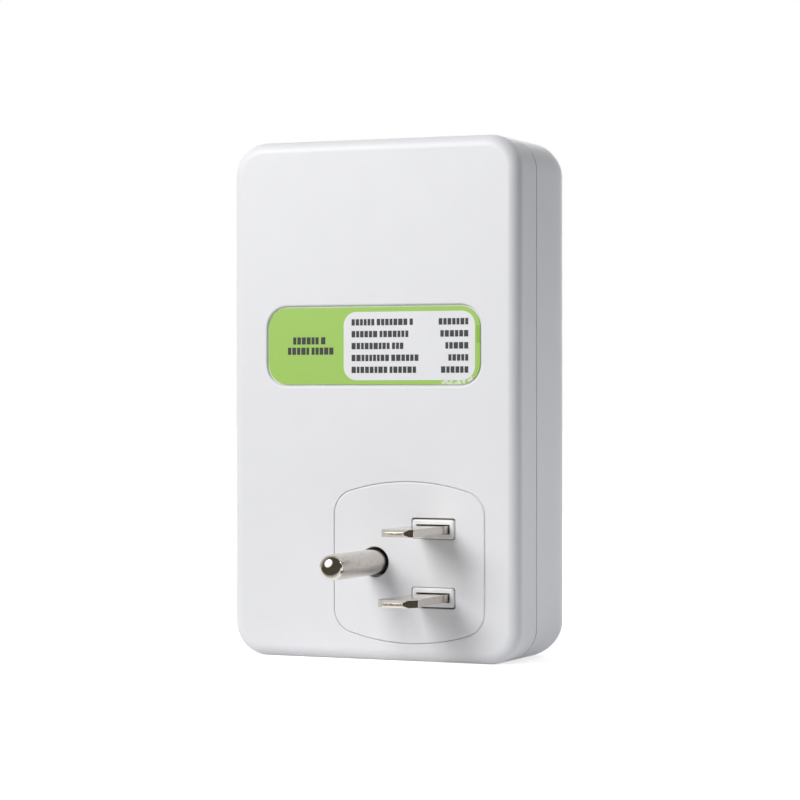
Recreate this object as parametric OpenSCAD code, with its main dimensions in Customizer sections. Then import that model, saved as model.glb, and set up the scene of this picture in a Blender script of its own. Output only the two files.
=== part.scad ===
// Plug-in voltage protector for one appliance: a two-shell adapter with plug blades on its rear
// face, a grounded outlet opposite them on its front face, and a relay board above both.
// Millimetres. The origin is on the ground pin's axis in the plane of the rear face. +Y points
// out of the rear face, along the plug's pins, and +Z is up.

/* [Body] */
// Width of the body
body_w = 59; // [57:0.5:68]
// Height of the body
body_h = 98; // [96:1:112]
// Depth of the body from the rear face to the front face
body_d = 29; // [28.5:0.5:34]
// Wall of both shells
wall = 2.2; // [2:0.1:2.5]
// Radius of the four upright corners
corner_r = 6.5; // [5.5:0.5:9]
// Radius of the edge round the rear face
rear_edge_r = 2.35; // [1:0.05:3]
// How far the front edge's rounding reaches in from the side walls
front_edge_w = 4.6; // [3.5:0.1:5]
// How far the front edge's rounding reaches back from the front face
front_edge_d = 9; // [7:0.5:10]
// Radius of the tighter arc, at the front face
front_edge_r = 3; // [2.4:0.1:3.3]
// Distance of the body's middle line from the ground pin's axis
body_side = 0.5; // [0:0.1:1.5]
// Height of the plug's centre above the bottom face
plug_rise = 18.5; // [18:0.5:22]

/* [Seam and screws] */
// Depth of the seam between the shells behind the rear face
seam_depth = 9; // [8.5:0.25:10]
// Width of the open groove along the seam
seam_gap = 0.35; // [0.2:0.05:0.6]
// Height of the front shell's tongue above the seam
tongue_h = 1.6; // [1:0.1:2]
// Thickness of the tongue
tongue_t = 0.9; // [0.7:0.05:1]
// Clearance beside the tongue
tongue_fit = 0.1; // [0.05:0.05:0.2]
// Radius of the two screw posts
post_r = 3.4; // [3.2:0.1:3.8]
// Distance from one screw to the other
post_pitch = 37; // [36:0.5:38]
// Shank diameter of the case screws
case_screw_d = 2.9; // [2.6:0.1:3]
// Head diameter of the case screws
case_head_d = 5.4; // [5:0.1:5.6]
// Head height of the case screws
case_head_h = 2; // [1.6:0.1:2.2]
// Length of the case screws under the head
case_screw_len = 16; // [12:1:18]
// Depth of the screw seat behind the rear face
screw_seat = 3.5; // [3.3:0.1:4.5]

/* [Plug] */
// Distance between the two blades
blade_pitch = 12.7; // [12.5:0.1:13]
// Distance from the blades' line to the ground pin
pin_offset = 11.9; // [11.8:0.1:12.5]
// Width of a blade
blade_w = 6.35; // [6:0.05:6.5]
// Thickness of a blade
blade_t = 1.4; // [1.4:0.05:1.6]
// Length of the line blade beyond the rear face
blade_len = 17.6; // [15.9:0.1:18.2]
// Length of the neutral blade beyond the rear face
neutral_len = 18.2; // [15.9:0.1:18.6]
// Width of the neutral blade's wider end
neutral_w = 7.94; // [7.6:0.02:8.1]
// Length of the neutral blade's wider end
neutral_head_l = 4.4; // [3.5:0.1:6]
// Width of the corner cut at a blade's tip
tip_cut_w = 1.27; // [0.8:0.01:1.6]
// Length of the corner cut at a blade's tip
tip_cut_l = 1.45; // [1:0.05:2]
// Cut on the flat sides of a blade's tip
tip_bevel = 0.45; // [0.2:0.05:0.5]
// Diameter of the ground pin
pin_d = 4.8; // [4.7:0.05:4.9]
// Length of the ground pin beyond the rear face
pin_len = 20.5; // [18.5:0.1:20.6]

/* [Plug plate] */
// Width of the plug plate
plate_w = 30.45; // [29:0.25:31]
// Height of the plug plate at its middle
plate_h = 30; // [28:0.5:30.5]
// Radius of the plate's bowed top and bottom edges
plate_bow_r = 41; // [35:1:60]
// Radius of the plate's corners
plate_corner_r = 4.5; // [3.5:0.25:6]
// Distance from the blades' line to the plate's middle, towards the ground pin
plate_shift = 4.93; // [4.5:0.05:5.5]
// Groove between the plate and the shell
plate_groove = 0.15; // [0.15:0.05:0.4]
// Width of the flange behind the shell's wall
flange_w = 0.8; // [0.6:0.1:1]
// Thickness of the flanges of the plug plate and the outlet face
flange_t = 1.2; // [1:0.1:1.4]
// Width of a blade window
window_w = 8.8; // [8.6:0.1:9.2]
// Height of a blade window
window_h = 3.9; // [3.8:0.1:4.4]
// Diameter of the ground pin's hole in the plate
pin_hole_d = 5.6; // [5.2:0.1:6]

/* [Blade carrier] */
// Thickness of the blade carrier's plate
carrier_t = 3; // [2.6:0.1:3.4]
// Width of the collar that fills a window
collar_w = 8.45; // [8:0.05:8.5]
// Height of the collar
collar_h = 3.6; // [3.3:0.05:3.65]
// Rounding of the collar's outer edge
collar_edge = 0.35; // [0.2:0.05:0.45]
// Room round a blade in its slot
blade_room = 0.2; // [0.05:0.01:0.25]
// Thickness of the brass strip of the blade feet and the contact bases
strip_t = 1; // [0.8:0.05:1.1]
// Radius of the ground pin's collar
pin_collar_r = 3.3; // [3.1:0.05:3.4]
// Height of the ground pin's collar
pin_collar_h = 1; // [0.8:0.1:1.4]

/* [Labels] */
// Width of the rating label and of the status label
label_w = 43.5; // [42:0.5:46]
// Height of both labels
label_h = 14.5; // [13:0.1:16]
// Corner radius of both labels
label_r = 3.9; // [2:0.1:5]
// Height of the labels' middle above the plug's centre
label_rise = 40.55; // [40:0.1:42]
// Thickness of a label
label_t = 0.3; // [0.2:0.05:0.4]
// Depth of a label's recess
recess_t = 0.5; // [0.45:0.05:0.7]
// Gap round a label in its recess
label_gap = 0.3; // [0.1:0.05:0.4]

/* [Outlet] */
// Width of the outlet face
outlet_w = 28; // [27:0.5:29]
// Height of the outlet face at its middle
outlet_h = 26; // [25:0.5:26]
// Width of the line slot
line_slot_w = 7; // [6.8:0.1:7.4]
// Width of the neutral slot
neutral_slot_w = 8.2; // [7.9:0.1:8.6]
// Height of both slots
slot_h = 2.3; // [2.1:0.1:2.6]
// Diameter of the ground hole
ground_hole_d = 5.4; // [5.2:0.1:5.6]
// Thickness of the contact springs
leaf_t = 0.5; // [0.4:0.05:0.6]
// Gap between the contact springs where they pinch
pinch_gap = 1; // [0.8:0.05:1.3]
// Bore of the ground contact
sleeve_bore = 5; // [4.95:0.05:5.1]
// Wall of the ground contact
sleeve_t = 0.6; // [0.4:0.05:0.7]
// Outer width of the contact housing
housing_w = 24.6; // [24:0.2:25.4]
// Outer height of the contact housing
housing_h = 22.4; // [22:0.2:23]

/* [Board] */
// Thickness of the main board
board_t = 1.6; // [1.2:0.2:1.8]
// Height of the board's bosses above the front wall
board_stand = 5.3; // [5:0.1:5.6]
// Gap between the board's edge and the walls
board_gap = 0.9; // [0.7:0.1:1.4]
// Height of the board's lower edge above the plug's centre
board_foot = 17; // [16.5:0.25:17.5]
// Radius of a board boss
boss_r = 2.6; // [2.4:0.1:2.8]
// Shank diameter of the board screws
board_screw_d = 2.2; // [1.8:0.1:2.4]
// Length of the board screws under the head
board_screw_len = 6; // [5:0.5:6.5]
// Radius of the thin component leads
lead_r = 0.3; // [0.25:0.01:0.35]
// Length of the leads beyond the board
lead_tail = 1.2; // [0.8:0.1:1.6]

/* [Relay] */
// Length of the relay
relay_l = 19; // [18.8:0.1:19.6]
// Width of the relay
relay_w = 15.5; // [15:0.1:16]
// Gap between the relay and the rear wall
relay_room = 2.4; // [2:0.1:3]
// Wall of the relay's case
relay_wall = 0.8; // [0.6:0.05:0.85]
// Angle through which the armature closes
armature_travel = 4; // [2:0.5:4]

/* [Components] */
// Length and width of the film capacitor
film_size = [16, 8.5]; // [7:0.5:18]
// Gap between the film capacitor and the rear wall
film_room = 2.7; // [1:0.1:6]
// Gap between the varistor disc and the rear wall
varistor_room = 2.2; // [1:0.1:5]
// Thickness of the varistor disc
varistor_t = 4.2; // [3.5:0.1:5]
// Diameter of the smoothing capacitor
smoothing_d = 10; // [8:0.5:10.5]
// Gap between the smoothing capacitor and the rear wall
smoothing_room = 5.2; // [1.5:0.1:7]
// Diameter of the filter capacitor
filter_d = 5; // [4:0.5:6.3]
// Gap between the filter capacitor and the rear wall
filter_room = 6.7; // [2:0.1:9]
// Length and diameter of the rectifier diodes' bodies
diode_size = [5.2, 2.7]; // [2:0.1:5.4]
// Length and diameter of the power resistors' bodies
resistor_size = [6.5, 2.5]; // [2:0.1:7]
// Length and diameter of the sensing resistors' bodies
small_size = [3.4, 1.8]; // [1.4:0.1:3.8]
// Diameter of an indicator lamp
lamp_d = 3; // [2.8:0.1:3.1]
// Distance from one indicator lamp to the next
lamp_pitch = 8.5; // [7:0.5:9.5]

/* [Wires] */
// Outer diameter of the two power wires
power_wire_d = 3; // [2.6:0.1:3.2]
// Diameter of their conductor
power_core_d = 1.8; // [1.4:0.1:2]
// Outer diameter of the neutral sensing wire
sense_wire_d = 1.6; // [1.3:0.1:2]
// Diameter of its conductor
sense_core_d = 0.8; // [0.5:0.1:1]

/* [Hidden] */
$fn = 64;
// Overrun of every cut
over = 1;
// Small running clearance between parts that are put together
fit = 0.05;

// Depths, all measured along Y from the rear face
wall_in = -wall;
plate_back = wall_in - flange_t;
carrier_back = plate_back - carrier_t;
foot_back = carrier_back - strip_t;
front_face = -body_d;
front_in = front_face + wall;
outlet_back = front_in + flange_t;
seam_y = -seam_depth;
tongue_top = seam_y + tongue_h;
board_front = front_in + board_stand;
board_rear = board_front + board_t;
// Height between the board and the rear wall
board_room = wall_in - board_rear;

// Heights of the body
body_low = -plug_rise;
body_mid = body_low + body_h / 2;

// Shapes that several pieces share

// Sector of a circle between two angles
module sector(r, from, to) {
    reach = 2 * r;
    mid = (from + to) / 2;
    intersection() {
        circle(r);
        polygon([[0, 0], reach * [cos(from), sin(from)], reach * [cos(mid), sin(mid)],
            reach * [cos(to), sin(to)]]);
    }
}

// Rectangle about the origin with round corners
module round_rect(w, h, r) {
    square([w, h - 2 * r], center = true);
    square([w - 2 * r, h], center = true);
    for (sx = [0, 1], sy = [0, 1])
        mirror([sx, 0]) mirror([0, sy]) translate([w / 2 - r, h / 2 - r]) sector(r, 0, 90);
}

// Points along an arc about the point c
function arc(c, r, from, to, steps) = [for (i = [0:steps])
    c + r * [cos(from + i * (to - from) / steps), sin(from + i * (to - from) / steps)]];

// Rectangle with upright sides, bowed top and bottom, and round corners
module bowed_rect(w, h, bow_r, r) {
    corner_x = w / 2 - r;
    bow_y = h / 2 - bow_r;
    corner_y = bow_y + sqrt(pow(bow_r - r, 2) - pow(corner_x, 2));
    turn = atan2(corner_y - bow_y, corner_x);
    steps = $fn / 4;
    bow_step = (180 - 2 * turn) / steps;
    half = concat(arc([corner_x, corner_y], r, 0, turn, steps),
        arc([0, bow_y], bow_r, turn + bow_step, 180 - turn - bow_step, steps - 2),
        arc([-corner_x, corner_y], r, 180 - turn, 180, steps));
    polygon(concat(half, -half));
}

// Half of a section with a round rear edge, from the middle out to w
module rear_half(w, low, high, r) {
    translate([0, low]) square([w, high - low - r]);
    translate([0, high - r]) square([w - r, r]);
    translate([w - r, high - r]) sector(r, 0, 90);
}

// Half of a section whose front edge is two arcs: a tight one at the face, a wide one at the side
module front_half(w, low, high, reach_w, reach_d, r) {
    wide_r = (pow(reach_w, 2) + pow(reach_d - r, 2) - pow(r, 2)) / (2 * (reach_w - r));
    turn = atan2(reach_d - r, wide_r - reach_w);
    side_low = low + reach_d;
    flat_w = w - reach_w;
    translate([0, side_low]) square([w, high - side_low]);
    translate([0, low]) square([flat_w, reach_d]);
    translate([flat_w, low + r]) sector(r, -90, -turn);
    intersection() {
        translate([w - wide_r, side_low]) circle(wide_r);
        polygon([[flat_w, low + r], [flat_w, low + r] + 2 * r * [cos(turn), -sin(turn)],
            [w + r, side_low], [flat_w, side_low]]);
    }
}

// Box with round upright corners of radius r. children(0) is half the section across the corner,
// children(1) half the section across the width and children(2) half of that across the height
module round_box(w, h, r) {
    translate([body_side, 0, body_mid]) {
        for (sx = [0, 1], sz = [0, 1])
            mirror([sx, 0, 0]) mirror([0, 0, sz]) translate([w / 2 - r, 0, h / 2 - r])
                rotate([-90, 0, 0]) mirror([0, 1, 0]) rotate_extrude(angle = 90) children(0);
        translate([0, 0, r - h / 2]) linear_extrude(h - 2 * r)
            for (side = [0, 1]) mirror([side, 0]) children(1);
        rotate([0, 90, 0]) translate([0, 0, r - w / 2]) linear_extrude(w - 2 * r)
            for (side = [0, 1]) mirror([side, 0]) children(2);
    }
}

// Body outline drawn in by inset, from low to high, with a round rear edge
module rear_block(inset, low, high, edge) {
    round_box(body_w - 2 * inset, body_h - 2 * inset, corner_r - inset) {
        rear_half(corner_r - inset, low, high, edge);
        rear_half(body_w / 2 - inset, low, high, edge);
        rear_half(body_h / 2 - inset, low, high, edge);
    }
}

// Body outline drawn in by inset, from low to high, with the rounded front edge
module front_block(inset, low, high) {
    reach_w = front_edge_w - inset;
    reach_d = front_edge_d - inset;
    round_box(body_w - 2 * inset, body_h - 2 * inset, corner_r - inset) {
        front_half(corner_r - inset, low, high, reach_w, reach_d, front_edge_r - inset);
        front_half(body_w / 2 - inset, low, high, reach_w, reach_d, front_edge_r - inset);
        front_half(body_h / 2 - inset, low, high, reach_w, reach_d, front_edge_r - inset);
    }
}

// Body outline with straight sides, drawn in by inset
module side_block(inset, low, high) {
    translate([body_side, high, body_mid]) rotate([90, 0, 0]) linear_extrude(high - low)
        round_rect(body_w - 2 * inset, body_h - 2 * inset, corner_r - inset);
}

// Flat shape drawn in X and Z, from the depth high down to low
module plate(low, high) {
    translate([0, high, 0]) rotate([90, 0, 0]) linear_extrude(high - low) children();
}

// Round bar along Y at x and z, from the depth low to high
module bar(x, z, r, low, high) {
    translate([x, high, z]) rotate([90, 0, 0]) cylinder(h = high - low, r = r);
}

// Places that repeat
blade_rise = blade_pitch / 2;
post_x = [body_side - post_pitch / 2, body_side + post_pitch / 2];

module at_posts() {
    for (x = post_x) translate([x, 0, label_rise]) children();
}

// Rear shell

// Radius of the hole that clears the screw's shank in the rear boss
screw_room = 0.3;
// Room round a screw's head in its seat
head_room = 0.25;
// Fillet inside the rear shell
inner_edge_r = 0.4;

module plate_outline(grow) {
    translate([plate_shift - pin_offset, 0])
        bowed_rect(plate_w + 2 * grow, plate_h + 2 * grow, plate_bow_r + grow,
            plate_corner_r + grow);
}

module label_outline(grow) {
    translate([body_side, label_rise])
        round_rect(label_w + 2 * grow, label_h + 2 * grow, label_r + grow);
}

module rear_shell() {
    color("white") difference() {
        union() {
            difference() {
                rear_block(0, seam_y, 0, rear_edge_r);
                rear_block(wall, seam_y - over, wall_in, inner_edge_r);
                side_block(wall - tongue_t - tongue_fit, seam_y - over, tongue_top);
            }
            at_posts() bar(0, 0, post_r, seam_y, wall_in + wall / 2);
        }
        plate(wall_in - over, over) plate_outline(plate_groove);
        plate(-recess_t, over) label_outline(label_gap);
        at_posts() {
            bar(0, 0, case_head_d / 2 + head_room, -screw_seat, 0);
            bar(0, 0, case_screw_d / 2 + screw_room, seam_y - over, 0);
        }
    }
}

// Plug plate, flush with the rear face and held by its flange behind the wall

// How much further from the plug's centre, and from the pin, a window stands than its collar
window_shift = (window_h - collar_h) / 3;
window_side = (window_w - collar_w) / 4;
// Corner radius of the windows and collars
window_r = 0.45;

module plug_plate() {
    color("white") difference() {
        union() {
            plate(wall_in, 0) plate_outline(0);
            plate(plate_back, wall_in) plate_outline(flange_w);
        }
        for (side = [-1, 1])
            plate(plate_back - over, over)
                translate([-pin_offset - window_side, side * (blade_rise + window_shift)])
                    round_rect(window_w, window_h, window_r);
        bar(0, 0, pin_hole_d / 2, plate_back - over, over);
    }
}

// Blade carrier: an insulating plate with a collar round each blade, and the pin's seat

// Corner radius of the carrier and of the contact housing
holder_r = 1.5;
// Distance from the blades' line to their middle
holder_shift = 4.8;
holder_x = holder_shift - pin_offset;
// How much thicker than its shank the ground pin's seat in the carrier is, at the radius
seat_extra = 0.2;

module collar() {
    hw = collar_w / 2;
    hh = collar_h / 2;
    root = plate_back - carrier_t / 2;
    for (sx = [0, 1], sz = [0, 1])
        mirror([sx, 0, 0]) mirror([0, 0, sz]) translate([hw - window_r, 0, hh - window_r])
            rotate([-90, 0, 0]) mirror([0, 1, 0]) rotate_extrude(angle = 90)
                rear_half(window_r, root, 0, collar_edge);
    translate([0, 0, window_r - hh]) linear_extrude(2 * (hh - window_r))
        for (side = [0, 1]) mirror([side, 0]) rear_half(hw, root, 0, collar_edge);
    rotate([0, 90, 0]) translate([0, 0, window_r - hw]) linear_extrude(2 * (hw - window_r))
        for (side = [0, 1]) mirror([side, 0]) rear_half(hh, root, 0, collar_edge);
}

module blade_carrier() {
    color("whitesmoke") difference() {
        union() {
            plate(carrier_back, plate_back) translate([holder_x, 0])
                round_rect(housing_w, housing_h, holder_r);
            for (side = [-1, 1]) translate([-pin_offset, 0, side * blade_rise]) collar();
        }
        for (side = [-1, 1])
            plate(carrier_back - over, over) translate([-pin_offset, side * blade_rise])
                square([blade_w + 2 * blade_room, blade_t + 2 * blade_room], center = true);
        bar(0, 0, pin_d / 2 + seat_extra + fit, carrier_back - over, plate_back + over);
        bar(0, 0, pin_collar_r + fit, carrier_back - over, carrier_back + pin_collar_h);
    }
}

// Plug blades: brass stampings, each with a foot bent along the carrier's back. The neutral
// blade is wider towards its tip

// How far the line blade's foot rises above the contact housing
foot_rise = 3.15;
// Gap between the contact housing and the neutral wire, beside it
wire_gap = 1.275;
neutral_wire_x = holder_x - housing_w / 2 - wire_gap - sense_wire_d / 2;

// Half the width of the flat at a blade's tip
tip_flat = blade_w / 2 - tip_cut_w;

// Outer points of one side of a tip, for a blade of that half width and length
function tip_points(half_w, reach) =
    [[half_w, reach - tip_cut_l * (half_w - tip_flat) / tip_cut_w], [tip_flat, reach]];

module blade_bar(side_points, half_w, reach) {
    ht = blade_t / 2;
    bevel_l = tip_bevel * 2;
    last = len(side_points) - 1;
    intersection() {
        translate([0, 0, -ht]) linear_extrude(blade_t)
            polygon(concat(side_points,
                [for (i = [last:-1:0]) [-side_points[i][0], side_points[i][1]]]));
        translate([-half_w, 0, 0]) rotate([90, 0, 90]) linear_extrude(2 * half_w)
            polygon([[foot_back, -ht], [reach - bevel_l, -ht], [reach, tip_bevel - ht],
                [reach, ht - tip_bevel], [reach - bevel_l, ht], [foot_back, ht]]);
    }
}

module line_blade() {
    hw = blade_w / 2;
    color("silver") translate([-pin_offset, 0, blade_rise]) {
        blade_bar(concat([[hw, foot_back]], tip_points(hw, blade_len)), hw, blade_len);
        translate([-blade_w / 2, foot_back, 0])
            cube([blade_w, strip_t, housing_h / 2 - blade_rise + foot_rise]);
    }
}

module neutral_blade() {
    foot_end = neutral_wire_x - sense_wire_d + pin_offset;
    hw = blade_w / 2;
    head_hw = neutral_w / 2;
    head_y = neutral_len - neutral_head_l;
    root = [[hw, foot_back], [hw, head_y + hw - head_hw], [head_hw, head_y]];
    color("silver") translate([-pin_offset, 0, -blade_rise]) {
        blade_bar(concat(root, tip_points(head_hw, neutral_len)), head_hw, neutral_len);
        translate([foot_end, foot_back, -blade_w / 4])
            cube([blade_w / 2 - foot_end, strip_t, blade_w / 2]);
    }
}

// Ground pin: a turned pin with a round end. It is relieved where it passes through the plug
// plate, and has a thicker seat in the carrier, a collar and a riveted spigot

// Depth of the relief, at the radius
relief = 0.2;
// Radius of the riveted spigot, and of its upset head
spigot_r = 1.2;
rivet_r = 1.9;
// Height of the upset head
rivet_h = 0.5;

module ground_pin() {
    r = pin_d / 2;
    color("silver") rotate([-90, 0, 0]) rotate_extrude() {
        square([r, pin_len - r]);
        translate([0, carrier_back]) square([r - relief, r - carrier_back]);
        translate([0, carrier_back]) square([r + seat_extra, carrier_t]);
        translate([0, pin_len - r]) sector(r, 0, 90);
        translate([0, carrier_back]) square([pin_collar_r, pin_collar_h]);
        translate([0, foot_back - rivet_h]) square([spigot_r, strip_t + rivet_h]);
        translate([0, foot_back - rivet_h]) square([rivet_r, rivet_h]);
    }
}

// Labels

module rating_label() {
    color("yellowgreen") plate(-recess_t, label_t - recess_t) label_outline(0);
}

// Places of the lamps, and the room round a lamp's lens
lamp_x = [for (i = [-1, 0, 1]) body_side + i * lamp_pitch];
lens_room = 0.1;

module status_label() {
    color("yellowgreen") plate(front_face + recess_t - label_t, front_face + recess_t)
        difference() {
            label_outline(0);
            for (x = lamp_x) translate([x, label_rise]) circle(lamp_d / 2 + lens_room);
        }
}

// Case screws, under the rating label

module case_screws() {
    drive_r = case_head_d / 4;
    color("silver") at_posts() difference() {
        union() {
            bar(0, 0, case_head_d / 2, -screw_seat, case_head_h - screw_seat);
            bar(0, 0, case_screw_d / 2, -screw_seat - case_screw_len,
                case_head_h / 4 - screw_seat);
        }
        for (turn = [0, 90]) rotate([0, turn, 0])
            translate([-drive_r, case_head_h / 2 - screw_seat, -drive_r / 4])
                cube([2 * drive_r, case_head_h, drive_r / 2]);
    }
}

// Front shell

// Width of flat front wall between a board boss and the front edge's rounding
boss_gap = 0.1;
// Height of the lower pair of bosses above the board's lower edge
low_boss_rise = 10;
boss_inset = front_edge_w + boss_gap + boss_r;
board_screw_places = [for (side = [-1, 1], z = [board_foot + low_boss_rise,
    body_low + body_h - boss_inset]) [body_side + side * (body_w / 2 - boss_inset), z]];

module front_shell() {
    color("white") difference() {
        union() {
            difference() {
                front_block(0, front_face, seam_y - seam_gap);
                front_block(wall, front_in, seam_y + over);
            }
            difference() {
                side_block(wall - tongue_t, seam_y - 2 * seam_gap, tongue_top);
                side_block(wall, seam_y - over, tongue_top + over);
            }
            at_posts() bar(0, 0, post_r, front_in - wall / 2, seam_y);
            for (p = board_screw_places)
                bar(p.x, p.y, boss_r, front_in - wall / 2, board_front);
        }
        plate(front_face - over, front_in + over) outlet_outline(plate_groove);
        plate(front_face - over, front_face + recess_t) label_outline(label_gap);
        at_posts() bar(0, 0, case_screw_d / 2 + fit,
            -screw_seat - case_screw_len - over, seam_y + over);
        for (p = board_screw_places) bar(p.x, p.y, board_screw_d / 2 + fit,
            board_rear - board_screw_len - fit, board_front + over);
        for (x = lamp_x) bar(x, label_rise, lamp_d / 2 + lens_room, front_face, front_in + over);
    }
}

// Outlet face, flush with the front face

module outlet_outline(grow) {
    translate([plate_shift - pin_offset, 0])
        bowed_rect(outlet_w + 2 * grow, outlet_h + 2 * grow, plate_bow_r + grow,
            plate_corner_r + grow);
}

module outlet_face() {
    color("white") difference() {
        union() {
            plate(front_face, front_in) outlet_outline(0);
            plate(front_in, outlet_back) outlet_outline(flange_w);
        }
        plate(front_face - over, outlet_back + over) {
            translate([-pin_offset, blade_rise]) square([line_slot_w, slot_h], center = true);
            translate([-pin_offset, -blade_rise]) square([neutral_slot_w, slot_h], center = true);
        }
        bar(0, 0, ground_hole_d / 2, front_face - over, outlet_back + over);
    }
}

// Contact housing: a block with a pocket for each contact

// Width and height of a blade contact's pocket, and the room round a contact in it
pocket_w = 8.2;
pocket_h = 6;
pocket_room = 0.2;
// Room round the ground contact's sleeve
sleeve_room = 0.4;
// Floor between the line blade's foot and the line contact
floor_t = 1.2;
floor_y = foot_back - floor_t;
// Width of the line contact's tail, and its place across the contact
tail_w = 3;
tail_shift = 2.4;

module contact_housing() {
    pocket_x = -pin_offset - pocket_w / 2;
    color("dimgray") difference() {
        plate(outlet_back, foot_back) translate([holder_x, 0])
            round_rect(housing_w, housing_h, holder_r);
        bar(0, 0, sleeve_bore / 2 + sleeve_t + sleeve_room, outlet_back - over, foot_back + over);
        translate([pocket_x, outlet_back - over, blade_rise - pocket_h / 2])
            cube([pocket_w, floor_y - outlet_back + over, pocket_h]);
        translate([pocket_x, outlet_back - over, -blade_rise - pocket_h / 2])
            cube([pocket_w, foot_back - outlet_back + 2 * over, pocket_h]);
        translate([tail_shift - pin_offset - tail_w / 2 - fit, outlet_back - over, blade_rise])
            cube([tail_w + 2 * fit, floor_y - outlet_back + over, housing_h]);
    }
}

// Blade contacts: a base strip with two spring leaves that pinch and then flare

// Depth of the pinch behind the contact's mouth, and the flare at the mouth
pinch_depth = 3;
flare = 1.1;
// Distance from a contact's mouth to the outlet face
mouth_room = 0.4;
base_w = pocket_w - 2 * pocket_room;
base_h = pocket_h - 2 * pocket_room;

module leaves(root) {
    mouth = outlet_back + mouth_room;
    spread = base_h / 2 - leaf_t;
    pinch = pinch_gap / 2;
    points = [[root, spread], [root - 2 * leaf_t, spread], [mouth + pinch_depth, pinch],
        [mouth, pinch + flare]];
    outline = concat(points, [for (i = [len(points) - 1:-1:0]) points[i] + [0, leaf_t]]);
    for (side = [0, 1]) mirror([0, 0, side]) translate([-blade_w / 2, 0, 0])
        rotate([90, 0, 90]) linear_extrude(blade_w) polygon(outline);
}

module contact_base(high) {
    translate([-base_w / 2, high - leaf_t, -base_h / 2]) cube([base_w, leaf_t, base_h]);
}

// Length of the line contact's tail above the housing
tail_len = 3.2;

module line_contact() {
    color("goldenrod") translate([-pin_offset, 0, blade_rise]) {
        contact_base(floor_y);
        leaves(floor_y);
        translate([tail_shift - tail_w / 2, floor_y - leaf_t, 0])
            cube([tail_w, leaf_t, housing_h / 2 - blade_rise + tail_len]);
    }
}

module neutral_contact() {
    color("goldenrod") translate([-pin_offset, 0, -blade_rise]) {
        contact_base(foot_back);
        leaves(foot_back);
    }
}

// Ground contact: a slotted sleeve on a base that the pin's spigot rivets to the carrier

// Width of the sleeve's slits
slit_w = 0.8;
// Length of the sleeve that is left whole at its base
sleeve_root = 3;

module ground_contact() {
    r = sleeve_bore / 2;
    mouth = outlet_back + mouth_room;
    color("goldenrod") difference() {
        union() {
            plate(foot_back, carrier_back) square(2 * (r + sleeve_t), center = true);
            bar(0, 0, r + sleeve_t, mouth, carrier_back);
        }
        bar(0, 0, r, mouth - over, foot_back);
        bar(0, 0, spigot_r + fit, foot_back - over, carrier_back + over);
        for (turn = [0, 90]) rotate([0, turn, 0])
            translate([-2 * r, mouth - over, -slit_w / 2])
                cube([4 * r, foot_back - sleeve_root - mouth + over, slit_w]);
    }
}

// Lenses that carry the lamps' light through the front wall

// Radius of a lens's collar, its height, and how far the lens stays behind the front face
lens_collar_r = 2.2;
lens_collar_h = 0.6;
lens_set = 0.1;

module lamp_lenses() {
    color("lightgray") for (x = lamp_x) {
        bar(x, label_rise, lamp_d / 2, front_face + lens_set, front_in + lens_collar_h);
        bar(x, label_rise, lens_collar_r, front_in, front_in + lens_collar_h);
    }
}

// Indicator lamps on the board's front side

// Radius and height of a lamp's rim, and the distance between its leads
lamp_rim_r = 1.9;
lamp_rim_h = 0.9;
lamp_lead_pitch = 2.54;
lamp_pads = [for (x = lamp_x, side = [-1, 1])
    [x + side * lamp_lead_pitch / 2, label_rise, lead_r]];

module status_lamps() {
    r = lamp_d / 2;
    tip = front_in + lens_collar_h;
    color("palegreen") {
        for (x = lamp_x) translate([x, 0, label_rise]) rotate([90, 0, 0]) rotate_extrude() {
            translate([0, -board_front]) square([lamp_rim_r, lamp_rim_h]);
            translate([0, -board_front]) square([r, board_front - tip - r]);
            translate([0, -tip - r]) sector(r, 0, 90);
        }
        for (p = lamp_pads) bar(p.x, p.y, p.z, board_front - lamp_rim_h, board_rear + lead_tail);
    }
}

// Places of the components on the board

// Below the labels, a side is the distance of a component's middle from the body's middle line,
// and a rise its height above the board's lower edge
relay_side = -11.9;
relay_rise = 5.8;
varistor_side = 11.3;
varistor_rise = 14.8;
transistor_side = -4.2;
zener_side = 8;
flyback_side = -11;
// Height of the transistor, zener and flyback diode above the labels' middle
low_row_lift = 4.4;

// Above the labels, a place is a share of the board's half width from its middle line, and a
// share of the board's height from the labels' middle up to its top edge
film_share = [-0.58, 0.3];
smoothing_share = [0.72, 0.35];
filter_share = [-0.78, 0.675];
regulator_share = [-0.49, 0.67];
chip_share = [0.04, 0.725];
diode_share = [-0.075, 0.35];
power_share = [-0.55, 0.48];
fusible_share = [0.285, 0.547];
sensing_share = [0.395, 0.74];
// From one diode, power resistor or sensing resistor to the next, as the same shares
diode_step_share = [0.1515, 0];
power_step_share = [0, 0.09];
sensing_step_share = [0.0985, 0];

board_w = body_w - 2 * wall - 2 * board_gap;
board_top = body_low + body_h - wall - board_gap;
function upper_place(share) =
    [body_side + share.x * board_w / 2, label_rise + share.y * (board_top - label_rise)];
relay_x = body_side + relay_side;
relay_mid = board_foot + relay_rise + relay_w / 2;
relay_h = board_room - relay_room;
varistor_x = body_side + varistor_side;
varistor_z = board_foot + varistor_rise;
film_place = upper_place(film_share);
smoothing_place = upper_place(smoothing_share);
filter_place = upper_place(filter_share);
regulator_place = upper_place(regulator_share);
chip_place = upper_place(chip_share);
transistor_place = [body_side + transistor_side, label_rise + low_row_lift];

// Leads

// Bend radius of a component's lead, and its straight run before the bend
lead_bend = 0.7;
lead_run = 0.9;
// Room round a lead in the board, and how far a lead reaches into its component
lead_room = 0.1;
lead_seat = 0.5;

// Straight leads at pads, from the height top above the board's rear face to below the board
module leads(pads, top) {
    for (p = pads) bar(p.x, p.y, p.z, board_front - lead_tail, board_rear + top);
}

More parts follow.
